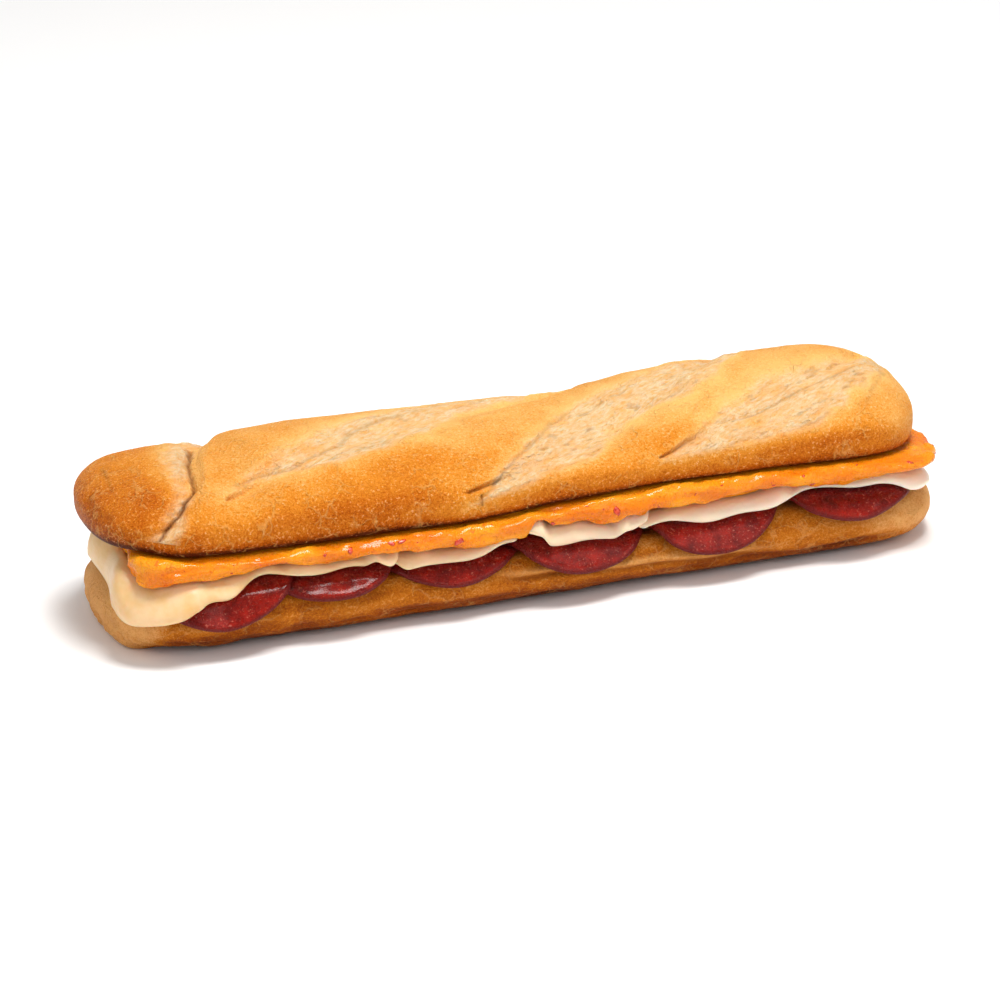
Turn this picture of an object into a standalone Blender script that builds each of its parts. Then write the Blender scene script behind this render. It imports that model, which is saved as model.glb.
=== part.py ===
"""A filled submarine sandwich: a scored roll with salami, melted cheese and chilli sauce.

Lengths below are in millimetres and become metres when a mesh is made.
+X runs along the roll, -Y faces the front and +Z is up. The flat underside lies on z = 0.
"""

import bpy
import numpy as np

MM = 0.001
GAP = 0.3

# Lower half of the roll
BOTTOM_LEFT = -145.0
BOTTOM_RIGHT = 149.5
BOTTOM_HALF_WIDTH = 38.0
BOTTOM_SQUARENESS = 2.7
LEFT_END_STEEPNESS = 0.6
END_LENGTH = 34.0
CUT_HEIGHT = 18.0
CUT_DISH = 2.0
CUT_RISES = (
    (-145, 0.5), (-112, 0.5), (-91, 1.4), (-50, 0.2), (-6, 0.2), (39, -0.5), (89, 1.8), (115, 1.8), (150, 1.0),
)

# Upper half of the roll
TOP_LEFT = -148.0
TOP_RIGHT = 144.0
TOP_HALF_WIDTH = 37.5
TOP_SQUARENESS = 2.4
TOP_CUT_HEIGHT = 34.8
TOP_CUT_ARCH = 3.0
WIDEST_HEIGHT = 40.5
DOME_POWER = 2.15
CROWN = (
    (-115, 54.4), (-100, 54.0), (-87, 56.9), (-70, 57.7), (-44, 56.9), (-16, 55.4), (6, 53.9),
    (21, 52.4), (30, 52.3), (42, 54.6), (56, 56.8), (71, 58.5), (100, 59.3), (112, 59.3),
)
EDGE_LIFTS = (
    (-148, 2.0), (-136, 3.0), (-121, 0.5), (-100, -0.6), (-71, -1.2), (-50, -1.2), (-28, -2.0), (-14, -1.2), (7, 1.0),
    (45, 2.7), (78, 2.2), (110, 1.0), (144, -1.0),
)

# Scores across the crown, as plan x and distance round the dome, with the full width at each point
HEEL_TEAR = (
    (-132, -50, 8), (-127, -43, 9), (-120, -27, 10), (-114, -12, 10), (-108, 6, 10), (-102, 22, 10), (-95, 38, 9), (-91, 50, 8),
)
SCORE_A = (
    (-105, -29, 3), (-92, -23, 12), (-80, -17, 16), (-62, -8, 18), (-39, 0, 19), (-15, 8, 17), (8, 18, 14), (28, 31, 10),
    (40, 44, 4),
)
SCORE_B = (
    (-25, -48, 3), (-12, -43, 7), (0, -36, 16), (12, -29, 19), (25, -20, 21), (40, -11, 21), (56, 0, 19), (72, 15, 15),
    (86, 31, 11), (97, 45, 4),
)
SCORE_C = (
    (43, -46, 3), (58, -38, 11), (72, -30, 17), (86, -21, 20), (98, -14, 19), (112, -8, 15), (126, 2, 10), (133, 12, 4),
)
SCORE_DEPTH = 1.7
PILLOW_RISE = 0.8

# The rolled edge that every slice lies on
EDGE_INSET = 7.0
ROLL_RADIUS = 6.0
END_EASE = 1.0
HANG_ANGLES = ((-150, 62), (-112, 58), (-72, 44), (-30, 50), (14, 55), (62, 58), (113, 40), (150, 48))

# Salami, six slices along each side
SALAMI_RADIUS = 28.5
SALAMI_THICKNESS = 1.9
SALAMI_FRONT = ((-109.0, 13.6), (-72.0, 10.6), (-30.0, 10.8), (13.5, 12.6), (62.5, 13.2), (112.0, 11.0))
SALAMI_BACK = ((-107.0, 12.9), (-64.0, 13.9), (-21.5, 12.6), (25.0, 13.8), (70.0, 12.8), (112.0, 13.6))
# Order of laying, each with the slice that it leans on and the side that leans
SALAMI_ORDER = ((3, None, 0), (2, 3, 1), (1, 2, 1), (4, 3, -1), (5, 4, -1), (6, 5, -1))
BACK_LIFT = 5.7
BACK_RAMP_START = 21.5
BACK_RAMP_END = 13.4

# How softly the cheese lies over the steps of the salami
COVER_STEP = 2.0
COVER_SPREAD_MIDDLE = 10.0
COVER_SPREAD_EDGE = 8.3

# Melted cheese slices
CHEESE_THICKNESS = 4.1
CHEESE_MIDDLE_THICKNESS = 2.0
CHEESE_REACH = 34.4
CHEESE_CORNER_REACH = 2.4
# Corner radius of each slice at its left and right end
CHEESE_CORNER_RADII = ((12.0, 7.0), (6.0, 4.5), (6.0, 3.2), (3.6, 13.0))
CHEESE_SPANS = ((-143.0, -48.5), (-53.5, -6.5), (-12.0, 39.0), (33.5, 141.5))
CHEESE_LAP = 9.0
CHEESE_LAP_SLACK = 0.2
CHEESE_LEFT_PUFF = 1.2
CHEESE_RIGHT_LOBE = 3.0
# The first slice swells up to the crust at the left tip, and its left edge leans in towards the back
CHEESE_LEFT_BULGE = 8.0
CHEESE_LEAN = 2.2
CHEESE_BACK_LEAN = 6.0
# Where two slices lap, and how much of their thickness has run away there
CHEESE_TONGUES = ((-114, 1.5, 9), (-99, -2.0, 8), (112, -1.8, 26))
CHEESE_THINNED = ((-51.0, 0.42, (1, 2)), (36.0, 0.25, (3, 4)))

# Chilli sauce
SAUCE_LEFT = -137.5
SAUCE_RIGHT = 147.4
SAUCE_HALF_WIDTH = 40.0
SAUCE_SQUARENESS = 4.2
SAUCE_END_LENGTH = 19.0
SAUCE_SLACK = 0.9
SAUCE_LOBES = (
    (-139, 24.5), (-126, 24.0), (-108, 28.2), (-94, 29.8), (-71, 27.4), (-54, 28.6), (-40, 26.6), (-24, 25.0), (-8, 25.6),
    (0, 28.4), (12, 28.8), (22, 26.8), (32, 24.6), (40, 28.8), (55, 28.6), (69, 30.0), (88, 30.4), (106, 28.2), (124, 29.0),
    (140, 29.6), (153, 29.6),
)
# How far the bead bulges outwards along the roll
SAUCE_SWELL = (
    (-139, 1.4), (-122, 0.8), (-78, 0.6), (-61, 1.8), (-46, 0.8), (-26, 1.6), (-8, 2.0), (2, 1.0), (20, 1.0), (32, 3.0), (43, 0.8),
    (150, 0.8),
)

COLOURS = {
    "bread": (0.66, 0.36, 0.13, 1.0),
    "salami": (0.35, 0.04, 0.03, 1.0),
    "cheese": (0.86, 0.74, 0.46, 1.0),
    "sauce": (0.88, 0.36, 0.05, 1.0),
}
ROUGHNESS = {"bread": 0.65, "salami": 0.35, "cheese": 0.4, "sauce": 0.25}


def smooth(value):
    """A soft step from 0 to 1."""
    value = np.clip(value, 0.0, 1.0)
    return value * value * (3 - 2 * value)


def along(stations, x):
    """A height read between stations, eased so that it has no sharp turns."""
    places = np.array([station[0] for station in stations], float)
    heights = np.array([station[1] for station in stations], float)
    x = np.clip(np.asarray(x, float), places[0], places[-1])
    index = np.clip(np.searchsorted(places, x, side="right") - 1, 0, len(places) - 2)
    share = (x - places[index]) / (places[index + 1] - places[index])
    return heights[index] + (heights[index + 1] - heights[index]) * smooth(share)


def half_outline(left, right, half_width, squareness, count, end_length=END_LENGTH):
    """Points of the front half of a roll's plan, evenly spaced from its left tip to its right tip."""
    angle = np.linspace(0, np.pi / 2, 200)
    lengthwise = end_length * np.cos(angle) ** (2 / squareness)
    across = -half_width * np.sin(angle) ** (2 / squareness)
    left_end = np.column_stack([left + end_length - lengthwise, across])
    right_end = np.column_stack([right - end_length + lengthwise, across])[::-1]
    dense = np.vstack([left_end, right_end])
    steps = np.r_[0, np.cumsum(np.hypot(*np.diff(dense, axis=0).T))]
    at = np.linspace(0, steps[-1], count)
    return np.column_stack([np.interp(at, steps, dense[:, 0]), np.interp(at, steps, dense[:, 1])])


def full_outline(*plan):
    """The whole plan, anticlockwise from the left tip: the front half, then the back half mirrored."""
    front = half_outline(*plan)
    back = front[-2:0:-1] * (1, -1)
    return np.vstack([front, back])


def spine_of(outline, left, right, end_length=END_LENGTH):
    """The point of the middle line that each outline point is drawn towards."""
    x = np.clip(outline[:, 0], left + end_length, right - end_length)
    return np.column_stack([x, np.zeros(len(x))])


def ring_at(outline, spine, inset):
    """The outline moved in by this much, which ends on the spine."""
    reach = np.hypot(*(outline - spine).T)
    share = np.clip(1 - inset / reach, 0, 1)
    return spine + (outline - spine) * share[:, None]


# Every slice lies on one carrier: flat on the cut face, then rolled down over its edge
BOTTOM_OUTLINE = full_outline(BOTTOM_LEFT, BOTTOM_RIGHT, BOTTOM_HALF_WIDTH, BOTTOM_SQUARENESS, 200)
CARRIER = ring_at(BOTTOM_OUTLINE, spine_of(BOTTOM_OUTLINE, BOTTOM_LEFT, BOTTOM_RIGHT), EDGE_INSET)


def nearest_on_carrier(points):
    """For each plan point, the nearest point of the carrier's edge, and how far outside it the point is."""
    starts = CARRIER
    ends = np.roll(CARRIER, -1, axis=0)
    run = ends - starts
    offset = points[:, None, :] - starts[None]
    share = np.clip((offset * run).sum(2) / (run * run).sum(1), 0, 1)
    candidates = starts + share[..., None] * run
    distance = np.hypot(*np.moveaxis(points[:, None, :] - candidates, 2, 0))
    best = distance.argmin(1)
    rows = np.arange(len(points))
    nearest = candidates[rows, best]
    outward = np.column_stack([run[best, 1], -run[best, 0]])
    side = ((points - nearest) * outward).sum(1)
    return nearest, np.where(side > 0, distance[rows, best], -distance[rows, best])


def cut_height(x, y):
    """The cut face of the lower half, a little wavy along it and pressed down in its middle."""
    middle = 1 - smooth(np.abs(y) / (BOTTOM_HALF_WIDTH - EDGE_INSET))
    return CUT_HEIGHT + along(CUT_RISES, x) - CUT_DISH * middle


def lay(plan, lift):
    """Where a point of a slice ends up: plan is where it would lie on a flat table, lift its height above the bread."""
    nearest, outside = nearest_on_carrier(plan)
    beyond = np.maximum(outside, 0)
    base = np.where(outside[:, None] > 0, nearest, plan)
    outward = np.where(outside[:, None] > 0, plan - nearest, 0)
    outward = outward / np.maximum(np.hypot(*outward.T), 1e-9)[:, None]
    most = np.radians(along(HANG_ANGLES, base[:, 0]))
    angle = np.minimum(beyond / ROLL_RADIUS, most)
    straight = beyond - ROLL_RADIUS * angle
    lift = lift + END_EASE * smooth((np.abs(base[:, 0] - 2) - 112) / 12)
    sideways = ROLL_RADIUS * np.sin(angle) + straight * np.cos(angle) + lift * np.sin(angle)
    upwards = ROLL_RADIUS * (np.cos(angle) - 1) - straight * np.sin(angle) + lift * np.cos(angle)
    x = base[:, 0] + outward[:, 0] * sideways
    y = base[:, 1] + outward[:, 1] * sideways
    return np.column_stack([x, y, cut_height(base[:, 0], base[:, 1]) + GAP + upwards])


def score_profile(points, score):
    """How far into a score each point of the crown is: 0 outside it and 1 on its middle line."""
    line = np.array(score, float)
    starts, ends = line[:-1], line[1:]
    run = (ends - starts)[:, :2]
    offset = points[:, None, :] - starts[None, :, :2]
    share = np.clip((offset * run).sum(2) / (run * run).sum(1), 0, 1)
    closest = starts[None, :, :2] + share[..., None] * run
    width = starts[:, 2] + share * (ends - starts)[:, 2]
    distance = np.hypot(*np.moveaxis(points[:, None, :] - closest, 2, 0))
    return 1 - np.clip((distance / (width * 0.62)).min(1), 0, 1)


def crown_relief(x, round_dome):
    """The valleys of the scores and the puffed bread between them."""
    points = np.column_stack([x, round_dome])
    inside = np.stack([score_profile(points, score) for score in (HEEL_TEAR, SCORE_A, SCORE_B, SCORE_C)])
    depths = np.array([1.25, 1.0, 1.0, 1.0])[:, None]
    valley = (smooth(inside) * depths).max(0)
    return PILLOW_RISE - (SCORE_DEPTH + PILLOW_RISE) * valley


def shut_mesh(name, points, faces, kind):
    """Makes a closed mesh of points in millimetres, joining those that coincide."""
    points = np.asarray(points, float)
    _, first, index = np.unique(np.round(points, 4), axis=0, return_index=True, return_inverse=True)
    index = index.reshape(-1)
    kept = []
    for face in faces:
        corners = [int(index[corner]) for corner in face]
        corners = [corner for place, corner in enumerate(corners) if corner != corners[place - 1]]
        if len(set(corners)) > 2:
            kept.append(corners)
    mesh = bpy.data.meshes.new(name)
    mesh.from_pydata((points[first] * MM).tolist(), [], kept)
    mesh.update()
    obj = bpy.data.objects.new(name, mesh)
    bpy.context.scene.collection.objects.link(obj)
    mesh.materials.append(finish(name, kind))
    mesh.shade_smooth()
    mesh.set_sharp_from_angle(angle=np.radians(50))
    return obj


def finish(name, kind):
    """A plain material of its own for each object."""
    material = bpy.data.materials.new(name)
    material.use_nodes = True
    shader = material.node_tree.nodes["Principled BSDF"]
    shader.inputs["Base Color"].default_value = COLOURS[kind]
    shader.inputs["Roughness"].default_value = ROUGHNESS[kind]
    return material


def triangles(corners):
    """Splits a four-sided face, so that its two triangles are always the same two."""
    a, b, c, d = corners
    return [(a, b, c), (a, c, d)]


def body_of_rings(name, rings, kind):
    """A closed body whose first and last rings have shrunk to a line."""
    count = len(rings[0])
    faces = []
    for level in range(len(rings) - 1):
        for place in range(count):
            after = (place + 1) % count
            low, high = level * count, (level + 1) * count
            faces += triangles((low + place, low + after, high + after, high + place))
    return shut_mesh(name, np.vstack(rings), faces, kind)


def make_bread_bottom():
    """The lower half: flat below, round at the side with one long crease, and cut flat above."""
    plan = (BOTTOM_LEFT, BOTTOM_RIGHT, BOTTOM_HALF_WIDTH, BOTTOM_SQUARENESS, 44)
    outline = full_outline(*plan)
    spine = spine_of(outline, BOTTOM_LEFT, BOTTOM_RIGHT)
    side = (
        (14.5, 0.0), (10.4, 0.9), (6.5, 2.6), (3.3, 4.8), (1.1, 7.2), (0.0, 9.8), (0.25, 11.8), (1.2, 14.0), (2.7, 16.0),
        (4.6, 17.4), (EDGE_INSET, CUT_HEIGHT),
    )
    rings = [np.column_stack([spine, np.zeros(len(spine))])]
    towards_middle = (spine - outline)[:, 0] / np.maximum(np.hypot(*(spine - outline).T), 1e-9)
    faces_left = smooth((towards_middle - 0.50) / 0.35)
    steep_end = LEFT_END_STEEPNESS * smooth((-116 - outline[:, 0]) / 18) * faces_left
    tucked = 3.5 * smooth((-112 - outline[:, 0]) / 14) * (1 - faces_left) * (outline[:, 1] < 0)
    for inset, height in side:
        kept = 1 - steep_end if height < 9 else 1.0
        ring = ring_at(outline, spine, inset * kept + tucked * smooth((8 - height) / 8))
        rise = smooth(height / CUT_HEIGHT) * along(CUT_RISES, ring[:, 0])
        x = ring[:, 0]
        crease_height = 11.0 - 0.055 * (x - 10)
        crease = smooth((x + 25) / 20) * smooth((88 - x) / 20) * (ring[:, 1] < 0)
        groove = 0.9 * crease * np.exp(-((height - crease_height) / 1.6) ** 2)
        if 0 < height < CUT_HEIGHT - 1:
            inward = spine - ring
            inward /= np.maximum(np.hypot(*inward.T), 1e-9)[:, None]
            ring = ring + inward * groove[:, None]
        rings.append(np.column_stack([ring, height + rise]))
    ring = ring_at(outline, spine, 18.0)
    rings.append(np.column_stack([ring, cut_height(ring[:, 0], ring[:, 1])]))
    rings.append(np.column_stack([spine, cut_height(spine[:, 0], spine[:, 1])]))
    return body_of_rings("bread_bottom", rings, "bread")


def top_cut_height(x, y):
    """The cut face of the upper half, arched a little over the filling."""
    middle = 1 - smooth((np.abs(y) - 15) / (TOP_HALF_WIDTH - 22))
    middle = middle * smooth((122 - np.abs(x + 2)) / 14)
    return TOP_CUT_HEIGHT + along(EDGE_LIFTS, x) * 0.8 + TOP_CUT_ARCH * middle


def make_bread_top():
    """The upper half: a domed crust with torn scores, a tucked-in lower edge and a flat cut face."""
    outline = full_outline(TOP_LEFT, TOP_RIGHT, TOP_HALF_WIDTH, TOP_SQUARENESS, 57)
    spine = spine_of(outline, TOP_LEFT, TOP_RIGHT)
    rings = [np.column_stack([spine, top_cut_height(spine[:, 0], spine[:, 1])])]
    for inset, rise in ((21.0, 0.0), (14.0, 0.0), (7.5, 0.0), (4.0, 0.1), (1.6, 1.0), (0.35, 3.0)):
        ring = ring_at(outline, spine, inset)
        height = top_cut_height(ring[:, 0], ring[:, 1]) if inset > 5 else TOP_CUT_HEIGHT + along(EDGE_LIFTS, ring[:, 0]) * 0.8
        rings.append(np.column_stack([ring, height + rise]))
    reach = np.hypot(*(outline - spine).T)
    outward = (outline - spine) / reach[:, None]
    crown = along(CROWN, spine[:, 0])
    for angle in np.radians((0, 12, 23, 34, 44, 54, 64, 74, 83, 90)):
        share = np.cos(angle) ** (2 / DOME_POWER) if angle < 1.57 else 0.0
        low = WIDEST_HEIGHT + along(EDGE_LIFTS, outline[:, 0]) * 0.6
        height = low + (crown - low) * np.sin(angle) ** (2 / DOME_POWER)
        flat = spine + (outline - spine) * share
        side = np.where(outline[:, 1] < 0, -1.0, 1.0)
        round_dome = side * TOP_HALF_WIDTH * (np.pi / 2 - angle) * np.abs(outward[:, 1])
        relief = crown_relief(flat[:, 0], round_dome) * smooth(angle / 0.35)
        flat = flat + outward * (relief * np.cos(angle))[:, None]
        if share == 0.0:
            relief = crown_relief(spine[:, 0], np.zeros(len(spine)))
        rings.append(np.column_stack([flat, height + relief * np.sin(angle)]))
    return body_of_rings("bread_top", rings, "bread")


def leaning(slices):
    """The tilt of each slice as its height at x, laid one on the next like shingles."""
    tilts = {}
    for number, under, side in SALAMI_ORDER:
        middle = slices[number - 1][0]
        if under is None:
            tilts[number] = (middle, 0.0)
            continue
        foot = middle - side * SALAMI_RADIUS
        rest = slices[under - 1][0] - side * SALAMI_RADIUS
        tip = middle + side * SALAMI_RADIUS
        needed = []
        for place in (rest, tip):
            below = (place - tilts[under][0]) * tilts[under][1]
            clear = max(below, 0.0) + SALAMI_THICKNESS + GAP
            needed.append(clear / abs(place - foot))
        tilts[number] = (foot, side * (max(needed) + 0.002))
    return tilts


def salami_lift(plan, tilt, back):
    """Height of a slice's underside above the bread."""
    foot, slope = tilt
    lift = np.maximum((plan[:, 0] - foot) * slope, 0.0)
    if back:
        lift = lift + BACK_LIFT * smooth((BACK_RAMP_START - plan[:, 1]) / (BACK_RAMP_START - BACK_RAMP_END))
    return lift


def slice_rows(back, at_end):
    """Where the rows of a slice's mesh lie, from its inner tip to its outer tip."""
    rows = [-28.5, -27.6, -24.0, -14.0]
    if back:
        rows += [-2.6, -0.6, 1.6, 3.8, 6.2]
    if at_end:
        rows += [11.0] if back else [-7.0, 0.0, 5.5, 10.5]
    elif not back:
        rows += [0.0]
    return np.array(rows + [15.0, 17.0, 19.0, 21.0, 24.4, 27.5, 28.5])


def make_salami(number, back, tilt):
    """A round slice lying on the bread, its outer part hanging over the side."""
    x_middle, reach = (SALAMI_BACK if back else SALAMI_FRONT)[number - 1]
    side = 1 if back else -1
    y_middle = side * (BOTTOM_HALF_WIDTH - EDGE_INSET + reach - SALAMI_RADIUS)
    at_end = number in (1, 6)
    columns = np.sin(np.linspace(-np.pi / 2, np.pi / 2, 9 if at_end else 7))
    rows = slice_rows(back, at_end) * SALAMI_RADIUS / 28.5
    half = np.sqrt(np.maximum(SALAMI_RADIUS**2 - rows**2, 0))
    plan = np.array([(x_middle + column * width, y_middle + side * row) for row, width in zip(rows, half) for column in columns])
    under = salami_lift(plan, tilt, back)
    lower = lay(plan, under)
    upper = lay(plan, under + SALAMI_THICKNESS)
    faces = sheet_faces(len(rows), len(columns), side < 0)
    name = f"salami_{'back' if back else 'front'}_{number}"
    return shut_mesh(name, np.vstack([lower, upper]), faces, "salami")


def sheet_faces(rows, columns, mirrored):
    """Faces of a closed sheet: a grid below, the same grid above, and the rim between them."""
    faces = []
    above = rows * columns
    for row in range(rows - 1):
        for column in range(columns - 1):
            a = row * columns + column
            b, c, d = a + 1, a + columns + 1, a + columns
            faces += [tuple(reversed(face)) for face in triangles((a, b, c, d))]
            faces += triangles((a + above, b + above, c + above, d + above))
    rim = [column for column in range(columns)]
    rim += [row * columns + columns - 1 for row in range(1, rows)]
    rim += [(rows - 1) * columns + column for column in range(columns - 2, -1, -1)]
    rim += [row * columns for row in range(rows - 2, 0, -1)]
    for place, start in enumerate(rim):
        end = rim[(place + 1) % len(rim)]
        faces += triangles((start, end, end + above, start + above))
    return [tuple(reversed(face)) for face in faces] if mirrored else faces


def salami_top(plan, tilts):
    """Height of the salami's upper side above the bread at each plan point, and 0 where there is none."""
    height = np.zeros(len(plan))
    for back, slices in ((False, SALAMI_FRONT), (True, SALAMI_BACK)):
        side = 1 if back else -1
        for number, (x_middle, reach) in enumerate(slices, 1):
            y_middle = side * (BOTTOM_HALF_WIDTH - EDGE_INSET + reach - SALAMI_RADIUS)
            inside = np.hypot(plan[:, 0] - x_middle, plan[:, 1] - y_middle) < SALAMI_RADIUS
            top = salami_lift(plan, tilts[back][number], back) + SALAMI_THICKNESS
            height = np.where(inside, np.maximum(height, top), height)
    return height


class SoftCover:
    """The height at which something soft lies over the salami, whose steps it rounds off."""

    def __init__(self, tilts):
        self.x = np.arange(-160, 166, COVER_STEP)
        self.y = np.arange(-50, 52, COVER_STEP)
        grid_x, grid_y = np.meshgrid(self.x, self.y, indexing="ij")
        plan = np.column_stack([grid_x.ravel(), grid_y.ravel()])
        sharp = salami_top(plan, tilts).reshape(grid_x.shape)
        near_edge = smooth((np.abs(grid_y) - 20) / 8)
        cover = self.spread(sharp, COVER_SPREAD_MIDDLE) * (1 - near_edge)
        self.height = self.blur(self.blur(cover + self.spread(sharp, COVER_SPREAD_EDGE) * near_edge))

    def spread(self, height, distance):
        """Each height becomes the greatest within this distance."""
        reach = int(distance // COVER_STEP)
        greatest = height
        for across in range(-reach, reach + 1):
            for up in range(-reach, reach + 1):
                if np.hypot(across, up) * COVER_STEP <= distance:
                    greatest = np.maximum(greatest, np.roll(height, (across, up), (0, 1)))
        return greatest

    def blur(self, height):
        """Each height becomes the mean of the nine round it."""
        shifts = [(across, up) for across in (-1, 0, 1) for up in (-1, 0, 1)]
        return sum(np.roll(height, shift, (0, 1)) for shift in shifts) / len(shifts)

    def at(self, plan):
        """The height at plan points, read between the grid's."""
        across = np.clip((plan[:, 0] - self.x[0]) / COVER_STEP, 0, len(self.x) - 1.001)
        up = np.clip((plan[:, 1] - self.y[0]) / COVER_STEP, 0, len(self.y) - 1.001)
        column, row = across.astype(int), up.astype(int)
        a, b = across - column, up - row
        low = self.height[column, row] * (1 - a) + self.height[column + 1, row] * a
        high = self.height[column, row + 1] * (1 - a) + self.height[column + 1, row + 1] * a
        return low * (1 - b) + high * b


def cheese_under(plan, number, cover):
    """Height of a cheese slice's underside above the bread."""
    return cover.at(plan) + 2 * GAP + cheese_lap(plan, number)


def cheese_thickness(y):
    """The cheese is pressed thinner over the middle of the roll."""
    outer = smooth((np.abs(y) - 15) / 16)
    return CHEESE_MIDDLE_THICKNESS + (CHEESE_THICKNESS - CHEESE_MIDDLE_THICKNESS) * outer


def thickness_at(plan, number):
    """The thickness of a slice, less where it laps its neighbour."""
    thick = cheese_thickness(plan[:, 1])
    for place, loss, numbers in CHEESE_THINNED:
        thick = thick * (1 - loss * smooth(1.6 - np.abs(plan[:, 0] - place) / 7) * (number in numbers))
    return thick


def cheese_bulge(plan, number):
    """How far the first slice swells up to the crust at the left tip."""
    beyond = smooth((-131 - plan[:, 0]) / 8)
    inner = smooth((plan[:, 1] + 34) / 16) * smooth((22 - plan[:, 1]) / 12)
    return CHEESE_LEFT_BULGE * beyond * inner * (number == 1)


def cheese_lap(plan, number):
    """Where two slices lap, the third lies on both its neighbours, and the first on the second."""
    x = plan[:, 0]
    rise = thickness_at(plan, number) + GAP + CHEESE_LAP_SLACK
    share = np.zeros(len(x))
    if number == 1:
        share = smooth((x - CHEESE_SPANS[1][0] + CHEESE_LAP) / (CHEESE_LAP * 0.5))
        share = share + CHEESE_LEFT_PUFF / rise * smooth((-108 - x) / 14)
    if number == 3:
        low = smooth((CHEESE_SPANS[1][1] + CHEESE_LAP - x) / (CHEESE_LAP * 0.5))
        high = smooth((x - CHEESE_SPANS[3][0] + CHEESE_LAP) / (CHEESE_LAP * 0.5))
        share = np.maximum(low, high)
    return rise * share


def cheese_reach(x):
    """How far the cheese reaches from the middle line, more where its corner hangs over the left end."""
    corner = smooth((-112 - x) / 14)
    wave = 0.7 * np.sin(x * 0.11) + 0.5 * np.sin(x * 0.23 + 1.0)
    for place, high, wide in CHEESE_TONGUES:
        wave = wave + high * np.exp(-(((x - place) / wide) ** 2))
    return CHEESE_REACH + CHEESE_CORNER_REACH * corner + wave * (1 - corner)


def cheese_plan(number, share, x):
    """Plan points of one row of a slice: its corners are rounded, and the first slice leans in at the back."""
    start, end = CHEESE_SPANS[number - 1]
    reach = cheese_reach(x)
    y = share * reach
    from_end = np.minimum(x - start, end - x)
    radius = np.where(x - start < end - x, *CHEESE_CORNER_RADII[number - 1])
    long_part = np.clip((radius - from_end) / radius, 0, 1)
    wide_part = np.clip((np.abs(y) - reach + radius) / radius, 0, 1)
    x_shift = radius * long_part * (1 - np.sqrt(1 - wide_part**2 / 2))
    y_shift = radius * wide_part * (1 - np.sqrt(1 - long_part**2 / 2))
    x = np.where(x - start < end - x, x + x_shift, x - x_shift)
    y = np.where(y < 0, y + y_shift, y - y_shift)
    if number == 1:
        lean = CHEESE_LEAN * smooth((share + 1.0) / 0.6) + CHEESE_BACK_LEAN * smooth((share - 0.12) / 0.3)
        x = x + lean * (end - x) / (end - start)
    if number == 4:
        x = x + CHEESE_RIGHT_LOBE * smooth((share + 0.6) / 0.35) * ((x - start) / (end - start)) ** 4
    return np.column_stack([x, y])


def make_cheese(number, cover):
    """A soft slice over the salami, its thickness rounded off along its edges."""
    start, end = CHEESE_SPANS[number - 1]
    inner = np.linspace(start + 7, end - 7, max(int(round((end - start - 14) / 8.5)), 4) + 1)
    x = np.concatenate([[start, start + 3], inner, [end - 3, end]])
    shares = np.array([-1, -0.92, -0.84, -0.7, -0.46, -0.2, 0.2, 0.46, 0.7, 0.84, 0.92, 1])
    plan = np.vstack([cheese_plan(number, share, x) for share in shares])
    under = cheese_under(plan, number, cover)
    rim = np.zeros((len(shares), len(x)), bool)
    rim[0] = rim[-1] = True
    rim[:, 0] = rim[:, -1] = True
    thick = thickness_at(plan, number)
    lower = lay(plan, under)
    upper = lay(plan, under + np.where(rim.reshape(-1), thick * 0.55, thick))
    upper[:, 2] += cheese_bulge(plan, number) * ~rim.reshape(-1)
    shut_mesh(f"cheese_{number}", np.vstack([lower, upper]), sheet_faces(len(shares), len(x), False), "cheese")


def cheese_surface(cover):
    """The highest point of the cheese over each square of a 1 mm grid."""
    highest = {}
    for number, (start, end) in enumerate(CHEESE_SPANS, 1):
        x = np.arange(start, end + 0.1, 1.2)
        shares = np.linspace(-1, 1, 61)
        plan = np.vstack([cheese_plan(number, share, x) for share in shares])
        top = lay(plan, cheese_under(plan, number, cover) + thickness_at(plan, number))
        top[:, 2] += cheese_bulge(plan, number)
        for px, py, pz in top:
            key = (int(round(px)), int(round(py)))
            highest[key] = max(highest.get(key, 0.0), pz)
    return highest


def above_cheese(highest, x, y, spread):
    """How high something must be to clear the cheese around this point."""
    reach = int(np.ceil(spread))
    near = [
        highest.get((int(round(x)) + dx, int(round(y)) + dy), 0.0)
        for dx in range(-reach, reach + 1)
        for dy in range(-reach, reach + 1)
        if dx * dx + dy * dy <= spread * spread
    ]
    return max(near) + 2 * GAP


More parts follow.
